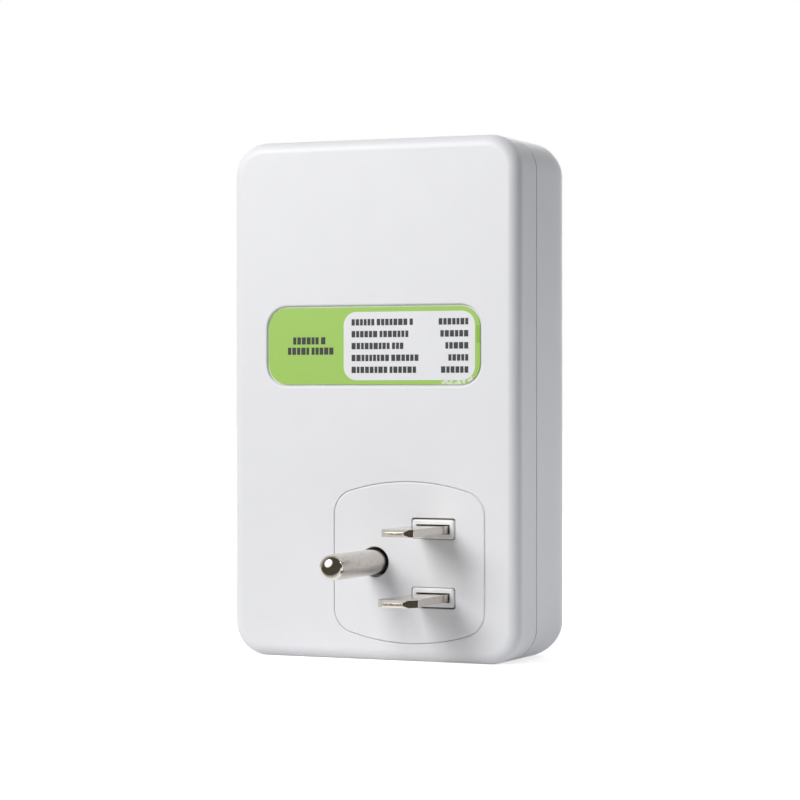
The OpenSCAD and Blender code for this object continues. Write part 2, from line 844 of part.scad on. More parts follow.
// Puts a piece on the board's rear side at x and z, with its own Z pointing off the board
module on_board(x, z) {
    translate([x, board_rear, z]) rotate([-90, 0, 0]) children();
}

// Round bar that runs along X, turns down and ends below
module bent_bar(run, bend, drop, r) {
    rotate([0, 90, 0]) cylinder(h = run, r = r);
    translate([run, 0, -bend]) rotate([90, 0, 0]) rotate_extrude(angle = 90)
        translate([bend, 0]) circle(r);
    translate([run + bend, 0, -bend - drop]) cylinder(h = drop, r = r);
}

// Half the distance between the pads of an axial component
function axial_reach(size) = size[0] / 2 + lead_run + lead_bend;

// Axial component: size is its body's length and diameter
module axial(size) {
    axis_h = size[1] / 2;
    drop = axis_h + board_t + lead_tail - lead_bend;
    translate([0, 0, axis_h]) {
        rotate([0, 90, 0]) cylinder(h = size[0], d = size[1], center = true);
        for (side = [0, 1]) mirror([side, 0, 0]) translate([size[0] / 2, 0, 0])
            bent_bar(lead_run, lead_bend, drop, lead_r);
    }
}

// Pads of axial components that lie along X, at places
function axial_pads_x(places, size) = [for (p = places, side = [-1, 1])
    [p.x + side * axial_reach(size), p.y, lead_r]];

// Pads of axial components that lie along Z, at places
function axial_pads_z(places, size) = [for (p = places, side = [-1, 1])
    [p.x, p.y + side * axial_reach(size), lead_r]];

// Rectifier, zener, flyback diode and resistors

diode_places = [for (i = [0:3]) upper_place(diode_share + i * diode_step_share)];
zener_places = [[body_side + zener_side, label_rise + low_row_lift]];
flyback_places = [[body_side + flyback_side, label_rise + low_row_lift]];
power_places = [for (i = [0, 1]) upper_place(power_share + i * power_step_share)];
fusible_places = [upper_place(fusible_share)];
sensing_places = [for (i = [0:3]) upper_place(sensing_share + i * sensing_step_share)];

module rectifier_diodes() {
    color("dimgray") for (p = diode_places)
        on_board(p.x, p.y) rotate([0, 0, 90]) axial(diode_size);
}

module zener_diode() {
    color("dimgray") for (p = zener_places) on_board(p.x, p.y) axial(diode_size);
}

module flyback_diode() {
    color("dimgray") for (p = flyback_places) on_board(p.x, p.y) axial(diode_size);
}

module power_resistors() {
    color("tan") for (p = power_places) on_board(p.x, p.y) axial(resistor_size);
}

module fusible_resistor() {
    color("seagreen") for (p = fusible_places) on_board(p.x, p.y) axial(resistor_size);
}

module sensing_resistors() {
    color("tan") for (p = sensing_places)
        on_board(p.x, p.y) rotate([0, 0, 90]) axial(small_size);
}

// Film capacitor

// Distance between the film capacitor's leads, and the radius of the thicker leads
film_pitch = 12.5;
thick_lead_r = 0.4;
film_pads = [for (side = [-1, 1])
    [film_place.x + side * film_pitch / 2, film_place.y, thick_lead_r]];

module film_capacitor() {
    color("gold") {
        on_board(film_place.x, film_place.y) translate([-film_size[0] / 2, -film_size[1] / 2, 0])
            cube([film_size[0], film_size[1], board_room - film_room]);
        leads(film_pads, lead_seat);
    }
}

// Surge varistor, a disc that stands on its two leads

// Height of the disc's lowest point above the board, and the distance between its leads
varistor_stand = 1.5;
varistor_pitch = 7.5;
varistor_d = board_room - varistor_stand - varistor_room;
varistor_pads = [for (side = [-1, 1])
    [varistor_x, varistor_z + side * varistor_pitch / 2, thick_lead_r]];

module surge_varistor() {
    color("royalblue") {
        on_board(varistor_x, varistor_z)
            translate([-varistor_t / 2, 0, varistor_stand + varistor_d / 2])
                rotate([0, 90, 0]) cylinder(h = varistor_t, d = varistor_d);
        leads(varistor_pads, varistor_stand + varistor_d / 4);
    }
}

// Electrolytic capacitors: a can on two leads

// Distance between their leads, as a share of the can's diameter
can_pitch_share = 0.5;
smoothing_pads = [for (side = [-1, 1])
    [smoothing_place.x + side * smoothing_d * can_pitch_share / 2, smoothing_place.y, lead_r]];
filter_pads = [for (side = [-1, 1])
    [filter_place.x + side * filter_d * can_pitch_share / 2, filter_place.y, lead_r]];
// Depth and width of the groove that is rolled round a can, and its height above the board
roll_depth = 0.35;
roll_w = 0.8;
roll_rise = 1.6;

module can(d, h) {
    difference() {
        cylinder(h = h, d = d);
        translate([0, 0, roll_rise]) difference() {
            cylinder(h = roll_w, d = d + over);
            cylinder(h = roll_w, d = d - 2 * roll_depth);
        }
    }
}

module smoothing_capacitor() {
    color("midnightblue") {
        on_board(smoothing_place.x, smoothing_place.y) can(smoothing_d, board_room - smoothing_room);
        leads(smoothing_pads, lead_seat);
    }
}

module filter_capacitor() {
    color("midnightblue") {
        on_board(filter_place.x, filter_place.y) can(filter_d, board_room - filter_room);
        leads(filter_pads, lead_seat);
    }
}

// Three-legged voltage regulator and relay transistor

// Radius and height of the moulded body, its flat's distance from the middle, its height above
// the board, and the distance from one leg to the next
to92_r = 2.3;
to92_h = 4.6;
to92_flat = 1.2;
to92_stand = 2.4;
to92_pitch = 1.27;
function to92_pads(place) = [for (i = [-1, 0, 1]) [place.x + i * to92_pitch, place.y, lead_r]];

module to92(place) {
    on_board(place.x, place.y) translate([0, 0, to92_stand]) linear_extrude(to92_h) intersection() {
        circle(to92_r);
        translate([-to92_r, -to92_r]) square([2 * to92_r, to92_r + to92_flat]);
    }
    leads(to92_pads(place), to92_stand + lead_seat);
}

module voltage_regulator() {
    color("dimgray") to92(regulator_place);
}

module relay_transistor() {
    color("dimgray") to92(transistor_place);
}

// Control chip with eight legs

// Length, width and height of the chip's body, and its height above the board
chip_size = [9.4, 6.4, 3.3];
chip_stand = 0.5;
// Distance from one leg to the next, and between the two rows
chip_pitch = 2.54;
chip_row = 7.62;
// Width and thickness of a leg
leg_w = 0.5;
leg_t = 0.25;
chip_pads = [for (i = [0:3], side = [-1, 1])
    [chip_place.x + (i - 3 / 2) * chip_pitch, chip_place.y + side * chip_row / 2,
    leg_w / 2 + lead_room]];

module control_chip() {
    shoulder = chip_stand + chip_size[2] / 2;
    reach = chip_row / 2 + leg_t / 2;
    color("dimgray") on_board(chip_place.x, chip_place.y) {
        translate([-chip_size[0] / 2, -chip_size[1] / 2, chip_stand]) cube(chip_size);
        for (i = [0:3], side = [0, 1]) mirror([0, side, 0])
            translate([(i - 3 / 2) * chip_pitch - leg_w / 2, 0, 0]) {
                translate([0, chip_size[1] / 2 - leg_t, shoulder])
                    cube([leg_w, reach - chip_size[1] / 2 + leg_t, leg_t]);
                translate([0, reach - leg_t, -board_t - lead_tail])
                    cube([leg_w, leg_t, shoulder + leg_t + board_t + lead_tail]);
            }
    }
}

// Relay: case, base, bobbin, coil, core, yoke, armature, contact spring and terminals. Its
// pieces are drawn from the relay's left lower corner on the board, with X along its length, Y
// across it from its middle line and Z off the board

// Thickness of the base
base_t = 1.4;
// Thickness and width of the yoke, and the place of its leg
yoke_t = 1.2;
yoke_w = 8;
yoke_x = 13;
// Height of the relay above its yoke, where the armature and its spring move
yoke_drop = 3.3;
yoke_h = relay_h - yoke_drop;
hinge_x = yoke_x + yoke_t;
// Place and radius of the core, its riveted spigot and its pole
pole_x = 7.6;
core_r = 2;
core_spigot_r = 1.4;
pole_r = 3.2;
pole_t = 0.8;
// Width and thickness of the bobbin's flanges, the wall of its tube, and its ends
bobbin_w = 10.4;
bobbin_t = 0.8;
tube_t = 0.55;
bobbin_drop = 1;
bobbin_low = base_t + yoke_t;
bobbin_high = yoke_h - bobbin_drop;
// Radius of the winding
coil_r = 4.9;
// Thickness, width and free end of the armature, and its heel behind the yoke's leg
armature_t = 1;
armature_w = 7;
armature_x = 4.3;
armature_low = yoke_h + fit;
heel_gap = 0.3;
heel_len = 2.8;
heel_x = hinge_x + heel_gap;
// Studs that hold the contact spring on the armature, on both sides of the pole's middle
stud_r = 0.5;
stud_side = 1.5;
stud_places = [pole_x - stud_side, pole_x + stud_side];
// Thickness and width of the contact spring, and the contact buttons
spring_t = 0.25;
spring_w = 4;
button_x = 2.6;
button_r = 1.2;
button_h = 0.55;
// Thickness and width of the fixed contact's arm
arm_t = 0.5;
arm_w = 3;
// Thickness of the flat terminals, and the gap between the fixed one and the case
terminal_t = 0.6;
terminal_gap = 0.15;
terminal_places = [relay_wall + terminal_gap + terminal_t / 2, yoke_x + terminal_t / 2];
// Distance of the coil's pins from the relay's middle line
coil_pin_y = 4.75;
// Length of every terminal below the relay
pin_down = board_t + lead_tail;

module in_relay() {
    on_board(relay_x, relay_mid) children();
}

coil_pads = [for (side = [-1, 1]) [relay_x + pole_x, relay_mid + side * coil_pin_y, lead_r]];

module relay_case() {
    color("royalblue") in_relay() difference() {
        translate([0, -relay_w / 2, 0]) cube([relay_l, relay_w, relay_h]);
        translate([relay_wall, relay_wall - relay_w / 2, -over])
            cube([relay_l - 2 * relay_wall, relay_w - 2 * relay_wall,
                relay_h - relay_wall + over]);
    }
}

// Hole for a flat terminal, from below the board to above the relay's base
module terminal_slot(x, room) {
    translate([x - terminal_t / 2 - room, -arm_w / 4 - room, -board_t - over])
        cube([terminal_t + 2 * room, arm_w / 2 + 2 * room, board_t + base_t + 2 * over]);
}

module relay_base() {
    inset = relay_wall + fit;
    color("dimgray") in_relay() difference() {
        translate([inset, inset - relay_w / 2, 0])
            cube([relay_l - 2 * inset, relay_w - 2 * inset, base_t]);
        for (x = terminal_places) terminal_slot(x, fit);
        for (side = [-1, 1]) translate([pole_x, side * coil_pin_y, -over])
            cylinder(h = base_t + 2 * over, r = lead_r + fit);
    }
}

module relay_bobbin() {
    color("white") in_relay() difference() {
        translate([pole_x, 0, 0]) {
            for (z = [bobbin_low, bobbin_high - bobbin_t])
                translate([-bobbin_w / 2, -bobbin_w / 2, z])
                    cube([bobbin_w, bobbin_w, bobbin_t]);
            translate([0, 0, bobbin_low])
                cylinder(h = bobbin_high - bobbin_low, r = core_r + fit + tube_t);
        }
        translate([pole_x, 0, bobbin_low - over])
            cylinder(h = bobbin_high - bobbin_low + 2 * over, r = core_r + fit);
        for (side = [-1, 1]) translate([pole_x, side * coil_pin_y, bobbin_low - over])
            cylinder(h = bobbin_t + over + fit, r = lead_r + fit);
    }
}

module relay_coil() {
    low = bobbin_low + bobbin_t + fit;
    high = bobbin_high - bobbin_t - fit;
    color("chocolate") in_relay() translate([pole_x, 0, low]) difference() {
        cylinder(h = high - low, r = coil_r);
        translate([0, 0, -over]) cylinder(h = high - low + 2 * over, r = core_r + tube_t + 2 * fit);
    }
}

module relay_core() {
    color("silver") in_relay() translate([pole_x, 0, 0]) {
        translate([0, 0, base_t]) cylinder(h = 2 * yoke_t, r = core_spigot_r);
        translate([0, 0, bobbin_low]) cylinder(h = bobbin_high - bobbin_low + pole_t, r = core_r);
        translate([0, 0, bobbin_high]) cylinder(h = pole_t, r = pole_r);
    }
}

module relay_yoke() {
    leg_x = pole_x - pole_r;
    color("silver") in_relay() difference() {
        union() {
            translate([leg_x, -yoke_w / 2, base_t])
                cube([hinge_x - leg_x, yoke_w, yoke_t]);
            translate([yoke_x, -yoke_w / 2, base_t])
                cube([yoke_t, yoke_w, yoke_h - base_t]);
            translate([yoke_x, -arm_w / 4, -pin_down])
                cube([terminal_t, arm_w / 2, pin_down + base_t + yoke_t]);
        }
        translate([pole_x, 0, base_t - over])
            cylinder(h = yoke_t + 2 * over, r = core_spigot_r + fit);
    }
}

// The armature and its spring turn on the yoke's upper edge. They are drawn closed, and stand
// open at rest
module at_hinge() {
    in_relay() translate([hinge_x, 0, yoke_h]) rotate([0, armature_travel, 0])
        translate([-hinge_x, 0, -yoke_h]) children();
}

module relay_armature() {
    top = armature_low + armature_t;
    color("silver") at_hinge() {
        translate([armature_x, -armature_w / 2, armature_low])
            cube([heel_x + armature_t - armature_x, armature_w, armature_t]);
        translate([heel_x, -armature_w / 2, armature_low - heel_len])
            cube([armature_t, armature_w, heel_len + armature_t]);
        for (x = stud_places) translate([x, 0, top]) {
            translate([0, 0, -spring_t]) cylinder(h = 3 * spring_t, r = stud_r);
            translate([0, 0, spring_t]) cylinder(h = spring_t, r = stud_r * 3 / 2);
        }
    }
}

module relay_contact_spring() {
    low = armature_low + armature_t;
    color("goldenrod") at_hinge() difference() {
        union() {
            translate([button_x - button_r, -spring_w / 2, low])
                cube([yoke_x - button_x + button_r, spring_w, spring_t]);
            translate([button_x, 0, yoke_h + button_h / 2])
                cylinder(h = low - yoke_h - button_h / 2 + spring_t / 2, r = button_r);
        }
        for (x = stud_places) translate([x, 0, low - over])
            cylinder(h = spring_t + 2 * over, r = stud_r + fit);
    }
}

module relay_fixed_contact() {
    x = relay_wall + terminal_gap;
    button_top = yoke_h + button_h / 2 - fit;
    arm_low = button_top - button_h - arm_t;
    color("goldenrod") in_relay() {
        translate([x, -arm_w / 2, base_t]) cube([terminal_t, arm_w, arm_low + arm_t - base_t]);
        translate([x, -arm_w / 4, -pin_down])
            cube([terminal_t, arm_w / 2, pin_down + base_t + arm_t]);
        translate([x, -arm_w / 2, arm_low]) cube([button_x + button_r - x, arm_w, arm_t]);
        translate([button_x, 0, arm_low + arm_t]) cylinder(h = button_h, r = button_r);
    }
}

module relay_coil_pins() {
    color("silver") in_relay() for (side = [-1, 1])
        translate([pole_x, side * coil_pin_y, -pin_down])
            cylinder(h = pin_down + bobbin_low + bobbin_t, r = lead_r);
}

// Wires. Each starts on a strip at its lower end, rises, turns forward and goes through the
// board. A wire's conductor is bare at both ends

// Bend radius of the power wires and of the sensing wire
power_bend = 4;
sense_bend = 3;
// Length of bare conductor at a strip, and how far the insulation stops before the board
bare_len = 3.4;
bare_room = 0.6;
// Gap between the contact housing and the power wires' ends
end_room = 0.1;
// Height of the wires' holes above the board's lower edge
line_in_rise = 5.4;
line_out_rise = 3.2;
neutral_rise = 2.8;
power_wire_low = housing_h / 2 + end_room;
line_in_x = -pin_offset - blade_w / 4;
line_in_z = board_foot + line_in_rise;
line_out_x = tail_shift - pin_offset;
line_out_z = board_foot + line_out_rise;
neutral_wire_z = board_foot + neutral_rise;
neutral_wire_low = -blade_rise - blade_w / 4;
wire_pads = [[line_in_x, line_in_z, power_core_d / 2], [line_out_x, line_out_z, power_core_d / 2],
    [neutral_wire_x, neutral_wire_z, sense_core_d / 2]];

// Wire at x whose core lies against the depth strip_y, from low up to the board pad at z
module wire(x, strip_y, low, z, wire_d, core_d, bend) {
    core_y = strip_y - core_d / 2;
    rise = z - bend - low - bare_len;
    run = core_y - bend - board_rear - bare_room;
    translate([x, core_y, low]) cylinder(h = bare_len + core_d, d = core_d);
    translate([x, core_y, low + bare_len]) rotate([0, -90, -90])
        bent_bar(rise, bend, run, wire_d / 2);
    bar(x, z, core_d / 2, board_front - lead_tail, board_rear + bare_room + core_d);
}

module line_in_wire() {
    color("black") wire(line_in_x, foot_back, power_wire_low, line_in_z, power_wire_d,
        power_core_d, power_bend);
}

module line_out_wire() {
    color("firebrick") wire(line_out_x, floor_y - leaf_t, power_wire_low, line_out_z,
        power_wire_d, power_core_d, power_bend);
}

module neutral_wire() {
    color("white") wire(neutral_wire_x, foot_back, neutral_wire_low, neutral_wire_z,
        sense_wire_d, sense_core_d, sense_bend);
}

// Main board, drilled for every lead, post and screw

// Corner radius of the board, and the room round a post
board_r = 3;
post_room = 0.4;
// Places and radii of the round leads and wires
pads = concat(lamp_pads, coil_pads, film_pads, varistor_pads, smoothing_pads, filter_pads,
    axial_pads_z(diode_places, diode_size), axial_pads_x(zener_places, diode_size),
    axial_pads_x(flyback_places, diode_size), axial_pads_x(power_places, resistor_size),
    axial_pads_x(fusible_places, resistor_size), axial_pads_z(sensing_places, small_size),
    to92_pads(regulator_place), to92_pads(transistor_place), chip_pads,
    wire_pads);

module main_board() {
    color("darkgreen") difference() {
        plate(board_front, board_rear) difference() {
            translate([body_side, (board_foot + board_top) / 2])
                round_rect(board_w, board_top - board_foot, board_r);
            for (p = pads) translate([p.x, p.y]) circle(p.z + lead_room);
            for (x = post_x) translate([x, label_rise]) circle(post_r + post_room);
            for (p = board_screw_places) translate(p) circle(board_screw_d / 2 + lead_room);
        }
        in_relay() for (x = terminal_places) terminal_slot(x, lead_room);
    }
}

// Board screws

// Radius and height of a board screw's head
board_head_r = 2;
board_head_h = 1.4;

module board_screws() {
    color("silver") for (p = board_screw_places) difference() {
        union() {
            bar(p.x, p.y, board_head_r, board_rear, board_rear + board_head_h);
            bar(p.x, p.y, board_screw_d / 2, board_rear - board_screw_len,
                board_rear + board_head_h / 4);
        }
        for (turn = [0, 90]) translate([p.x, board_rear + board_head_h / 2, p.y])
            rotate([0, turn, 0])
                translate([-board_head_r / 2, 0, -board_head_r / 8])
                    cube([board_head_r, board_head_h, board_head_r / 4]);
    }
}

rear_shell();
front_shell();
plug_plate();
blade_carrier();
line_blade();
neutral_blade();
ground_pin();
rating_label();
case_screws();
outlet_face();
contact_housing();
line_contact();
neutral_contact();
ground_contact();
status_label();
lamp_lenses();
status_lamps();
main_board();
board_screws();
relay_case();
relay_base();
relay_bobbin();
relay_coil();
relay_core();
relay_yoke();
relay_armature();
relay_contact_spring();
relay_fixed_contact();
relay_coil_pins();
film_capacitor();
surge_varistor();
smoothing_capacitor();
filter_capacitor();
rectifier_diodes();
zener_diode();
flyback_diode();
power_resistors();
fusible_resistor();
sensing_resistors();
voltage_regulator();
relay_transistor();
control_chip();
line_in_wire();
line_out_wire();
neutral_wire();
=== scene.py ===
import math
import random

import bpy
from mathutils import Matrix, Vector


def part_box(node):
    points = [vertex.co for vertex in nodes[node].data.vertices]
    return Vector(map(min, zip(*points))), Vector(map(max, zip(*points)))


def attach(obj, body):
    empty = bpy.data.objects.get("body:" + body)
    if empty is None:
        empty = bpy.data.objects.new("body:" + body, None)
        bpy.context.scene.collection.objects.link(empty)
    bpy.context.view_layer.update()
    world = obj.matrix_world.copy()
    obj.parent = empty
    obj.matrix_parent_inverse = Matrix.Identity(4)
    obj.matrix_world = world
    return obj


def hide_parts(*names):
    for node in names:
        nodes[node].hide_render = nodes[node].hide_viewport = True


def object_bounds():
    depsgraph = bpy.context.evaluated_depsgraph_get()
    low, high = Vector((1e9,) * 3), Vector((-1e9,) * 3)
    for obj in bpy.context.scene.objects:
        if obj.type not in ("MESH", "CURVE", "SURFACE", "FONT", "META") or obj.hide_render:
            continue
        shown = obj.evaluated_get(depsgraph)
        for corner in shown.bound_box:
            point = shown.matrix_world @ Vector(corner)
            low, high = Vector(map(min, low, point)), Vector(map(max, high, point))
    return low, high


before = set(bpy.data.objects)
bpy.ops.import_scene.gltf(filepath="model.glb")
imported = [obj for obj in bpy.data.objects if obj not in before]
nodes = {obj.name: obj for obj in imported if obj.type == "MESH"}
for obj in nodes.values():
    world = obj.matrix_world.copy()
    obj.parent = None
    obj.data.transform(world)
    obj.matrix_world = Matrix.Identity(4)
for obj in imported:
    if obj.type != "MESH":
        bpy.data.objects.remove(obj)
cad_low, cad_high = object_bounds()

# Camera. It stands level with the lower edge of the rating label, half a metre from the plug
# and a little to the seam's side, with a long lens that is shifted down a little.
lens_height = 0.0319
camera_place = Vector((-0.2163, 0.4737, lens_height))
camera_turn = math.radians(24.018)
camera_data = bpy.data.cameras.new("camera")
camera_data.sensor_width = 36
camera_data.lens = 124.94
camera_data.shift_y = -0.01025
camera_data.clip_start = 0.01
camera = bpy.data.objects.new("camera", camera_data)
camera.location = camera_place
camera.rotation_euler = (math.pi / 2, 0, math.pi + camera_turn)
bpy.context.scene.collection.objects.link(camera)
bpy.context.scene.camera = camera

# Rear shell. Injection-moulded white plastic with a very fine matt grain, held to the front
# shell by two screws under the rating label. The mould leaves a small radius on the edges of
# the plug's opening and of the label's recess.
MM = 0.001


class Flow:
    """A value that runs through a material's nodes. Arithmetic on it adds Math nodes."""

    def __init__(self, tree, socket=None):
        self.tree = tree
        self.socket = socket

    def node(self, kind, settings, sockets, output=0):
        """A node of that kind: its settings are made first, then its sockets are filled."""
        made = self.tree.nodes.new("ShaderNode" + kind)
        for name, value in settings.items():
            setattr(made, name, value)
        for key, value in sockets.items():
            if isinstance(value, Flow):
                self.tree.links.new(value.socket, made.inputs[key])
            else:
                made.inputs[key].default_value = value
        return Flow(self.tree, made.outputs[output])

    def math(self, operation, *values):
        return self.node("Math", {"operation": operation}, dict(enumerate(values)))

    def __add__(self, other):
        return self.math("ADD", self, other)

    def __sub__(self, other):
        return self.math("SUBTRACT", self, other)

    def __rsub__(self, other):
        return self.math("SUBTRACT", other, self)

    def __mul__(self, other):
        return self.math("MULTIPLY", self, other)

    def __gt__(self, other):
        return self.math("GREATER_THAN", self, other)

    def __lt__(self, other):
        return self.math("LESS_THAN", self, other)

    __radd__ = __add__
    __rmul__ = __mul__


def start_finish(name):
    """A material with its surface shader, and the object's own coordinates to draw on."""
    material = bpy.data.materials.new(name)
    material.use_nodes = True
    place = Flow(material.node_tree).node("TexCoord", {}, {}, output="Object")
    return material, place


def set_surface(material, values):
    """Fills the surface shader's sockets with numbers, colours or values from other nodes."""
    shader = material.node_tree.nodes["Principled BSDF"]
    for key, value in values.items():
        if isinstance(value, Flow):
            material.node_tree.links.new(value.socket, shader.inputs[key])
        else:
            shader.inputs[key].default_value = value


def noise(place, width, detail=2.0):
    """Soft random pattern whose patches are about that wide."""
    return place.node("TexNoise", {}, {"Vector": place, "Scale": 1 / width, "Detail": detail})


def between(place, low, high, share):
    """Colour from low to high, as share goes from 0 to 1. Either may come from other nodes."""
    ends = {0: share}
    for socket, colour in ((6, low), (7, high)):
        ends[socket] = colour if isinstance(colour, Flow) else (*colour, 1)
    return place.node("Mix", {"data_type": "RGBA"}, ends, output=2)


def raised(place, height, depth, strength=1.0):
    """Bump of that depth, in metres, where height goes from 0 to 1."""
    return place.node("Bump", {}, {"Strength": strength, "Distance": depth, "Height": height})


def moulded(name, dark, light, gloss=0.42, grain=0.25 * MM, depth=0.004 * MM):
    """Moulded plastic: faint clouds in its colour and sheen, and a fine grain."""
    cloud_width = 9 * MM
    sheen_width = 3 * MM
    sheen_spread = 0.08
    material, place = start_finish(name)
    set_surface(material, {
        "Base Color": between(place, dark, light, noise(place, cloud_width)),
        "Roughness": gloss + sheen_spread * noise(place, sheen_width),
        "Normal": raised(place, noise(place, grain), depth),
        "IOR": 1.5,
    })
    return material


weld = 0.0005 * MM
flat = math.radians(0.4)


def copy_of(name):
    """The CAD node's solid as a new piece, welded, with its flat faces whole again."""
    bpy.ops.object.select_all(action="DESELECT")
    source = nodes[name]
    source.select_set(True)
    bpy.context.view_layer.objects.active = source
    bpy.ops.object.duplicate()
    piece = bpy.context.view_layer.objects.active
    piece.parent = None
    for key in list(piece.keys()):
        del piece[key]
    piece.name = name + "_finished"
    bpy.ops.object.mode_set(mode="EDIT")
    bpy.ops.mesh.select_all(action="SELECT")
    bpy.ops.mesh.remove_doubles(threshold=weld)
    bpy.ops.mesh.dissolve_limited(angle_limit=flat)
    bpy.ops.object.mode_set(mode="OBJECT")
    return piece


def round_edges(piece, width, where, steps=3, sharpness=50):
    """Rounds the sharp edges whose two ends are both at places that where accepts."""
    bpy.ops.object.select_all(action="DESELECT")
    piece.select_set(True)
    bpy.context.view_layer.objects.active = piece
    bpy.ops.object.mode_set(mode="EDIT")
    bpy.ops.mesh.select_mode(type="EDGE")
    bpy.ops.mesh.select_all(action="DESELECT")
    bpy.ops.mesh.edges_select_sharp(sharpness=math.radians(sharpness))
    bpy.ops.object.mode_set(mode="OBJECT")
    ends = [vertex.co for vertex in piece.data.vertices]
    for edge in piece.data.edges:
        edge.select = edge.select and all(where(ends[i]) for i in edge.vertices)
    bpy.ops.object.mode_set(mode="EDIT")
    bpy.ops.mesh.bevel(offset=width, segments=steps, profile=0.5, affect="EDGES",
        clamp_overlap=False)
    bpy.ops.object.mode_set(mode="OBJECT")


def smooth(piece, angle=35):
    """Smooth shading up to that angle, with the large faces kept flat."""
    bpy.ops.object.select_all(action="DESELECT")
    piece.select_set(True)
    bpy.context.view_layer.objects.active = piece
    bpy.ops.object.shade_smooth_by_angle(angle=math.radians(angle))
    bpy.ops.object.modifier_add(type="WEIGHTED_NORMAL")
    piece.modifiers[-1].keep_sharp = True
    bpy.ops.object.modifier_apply(modifier=piece.modifiers[-1].name)


def give(piece, material):
    """Gives a new piece one finish all over."""
    piece.data.materials.clear()
    piece.data.materials.append(material)


def seat(piece, body, slot, *replaced):
    """The piece rides on its body and hides the CAD nodes it stands for. The slot is not used."""
    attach(piece, body)
    if replaced:
        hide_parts(*replaced)


edge_round = 0.2 * MM
recess_round = 0.38 * MM
recess_steps = 4
recess_margin = 1 * MM
face_skin = 0.1 * MM
recess_low, recess_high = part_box("rating_label")


def at_recess(p):
    """True on the rear face beside the label's recess."""
    return (p.y > -face_skin
        and recess_low.z - recess_margin < p.z < recess_high.z + recess_margin
        and recess_low.x - recess_margin < p.x < recess_high.x + recess_margin)


def at_opening(p):
    """True on the rear face well below the label's recess, where the plug's opening is."""
    return p.y > -face_skin and p.z < recess_low.z - 2 * recess_margin


white_plastic = moulded("white_plastic", dark=(0.80, 0.80, 0.815), light=(0.83, 0.83, 0.845))
rear_shell = copy_of("rear_shell")
round_edges(rear_shell, recess_round, at_recess, steps=recess_steps)
round_edges(rear_shell, edge_round, at_opening)
smooth(rear_shell)
give(rear_shell, white_plastic)
seat(rear_shell, "casing", "shell_white", "rear_shell")

# Front shell. The deeper half of the case, moulded in the same white plastic. Its upper edge
# stands a hair's breadth off the rear shell, which leaves the dark line round the sides.
front_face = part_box("front_shell")[0].y


def at_front(p):
    """True on the front face."""
    return p.y < front_face + face_skin


front_shell = copy_of("front_shell")
round_edges(front_shell, edge_round, at_front)
smooth(front_shell)
give(front_shell, white_plastic)
seat(front_shell, "casing", "shell_white", "front_shell")

# Plug plate. A separate moulding that fills the opening in the rear shell, flush with it, with
# two windows for the blades' collars and a round hole for the ground pin. A low rib round its
# edge, just under the surface, all but closes the groove round it.
rib_top = -0.22 * MM
rib_foot = -1 * MM
rib_slope = 0.01 * MM
rib_depth = 0.1 * MM
side_facing = 0.1
outer_share = 0.8
plate_low, plate_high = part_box("plug_plate")
plate_middle = (plate_low + plate_high) / 2
plate_half = (plate_high - plate_low) / 2
plug_plate = copy_of("plug_plate")
round_edges(plug_plate, edge_round, lambda p: p.y > -face_skin)
bpy.ops.object.mode_set(mode="EDIT")
for level in (rib_top, rib_top - rib_slope, rib_foot, rib_foot - rib_slope):
    bpy.ops.mesh.select_all(action="SELECT")
    bpy.ops.mesh.bisect(plane_co=(0, level, 0), plane_no=(0, 1, 0))
bpy.ops.mesh.select_mode(type="FACE")
bpy.ops.mesh.select_all(action="DESELECT")
bpy.ops.object.mode_set(mode="OBJECT")
for face in plug_plate.data.polygons:
    off = face.center - plate_middle
    face.select = (rib_foot < face.center.y < rib_top - rib_slope
        and abs(face.normal.y) < side_facing
        and (abs(off.x) > outer_share * plate_half.x or abs(off.z) > outer_share * plate_half.z))
bpy.ops.object.mode_set(mode="EDIT")
bpy.ops.transform.shrink_fatten(value=rib_depth)
bpy.ops.object.mode_set(mode="OBJECT")
smooth(plug_plate)
give(plug_plate, white_plastic)
seat(plug_plate, "casing", "shell_white", "plug_plate")


# Blade carrier. Smoother, harder white plastic, moulded round the slots that hold the blades.
# Only its two collars show, in the plate's windows.
def dress(names, material):
    """Gives CAD nodes their finish."""
    for name in names:
        for place in nodes[name].material_slots:
            place.material = material


collar_plastic = moulded("collar_plastic", dark=(0.88, 0.88, 0.88), light=(0.91, 0.91, 0.905),
    gloss=0.3, grain=0.5 * MM, depth=0.002 * MM)
dress(["blade_carrier"], collar_plastic)


# Blades. Stamped from brass strip and nickel plated: fine rolling lines run along them, and
# the punch leaves small round edges. A blade is bent to its foot behind the collar.
def plated(name, dark, light, gloss, stretch, tip=1.0):
    """Plated metal: lines along one axis that vary its sheen, and small stains. Beyond y = tip
    it is the rough, torn edge that the shears leave."""
    line_width = 0.25 * MM
    line_sheen = 0.1
    line_depth = 0.003 * MM
    stain_width = 1.6 * MM
    tear_width = 0.5 * MM
    tear_level = 0.53
    tear_share = 0.6
    tear_brown = (0.22, 0.17, 0.13)
    tear_sheen = 0.24
    wave_width = 0.4 * MM
    wave_depth = 0.1 * MM
    material, place = start_finish(name)
    drawn = place.node("Mapping", {}, {"Vector": place, "Scale": stretch})
    lines = noise(drawn, line_width, detail=4)
    sheared = place.node("SeparateXYZ", {}, {"Vector": place}, output=1) > tip
    waves = noise(place, wave_width) * sheared
    torn = (noise(place, tear_width, detail=3) > tear_level) * sheared
    clean = between(place, dark, light, noise(place, stain_width, detail=5))
    set_surface(material, {
        "Base Color": between(place, clean, tear_brown, torn * tear_share),
        "Metallic": 1.0,
        "Roughness": gloss + line_sheen * lines + tear_sheen * sheared,
        "Normal": raised(place, lines * line_depth + waves * wave_depth, 1.0),
    })
    return material


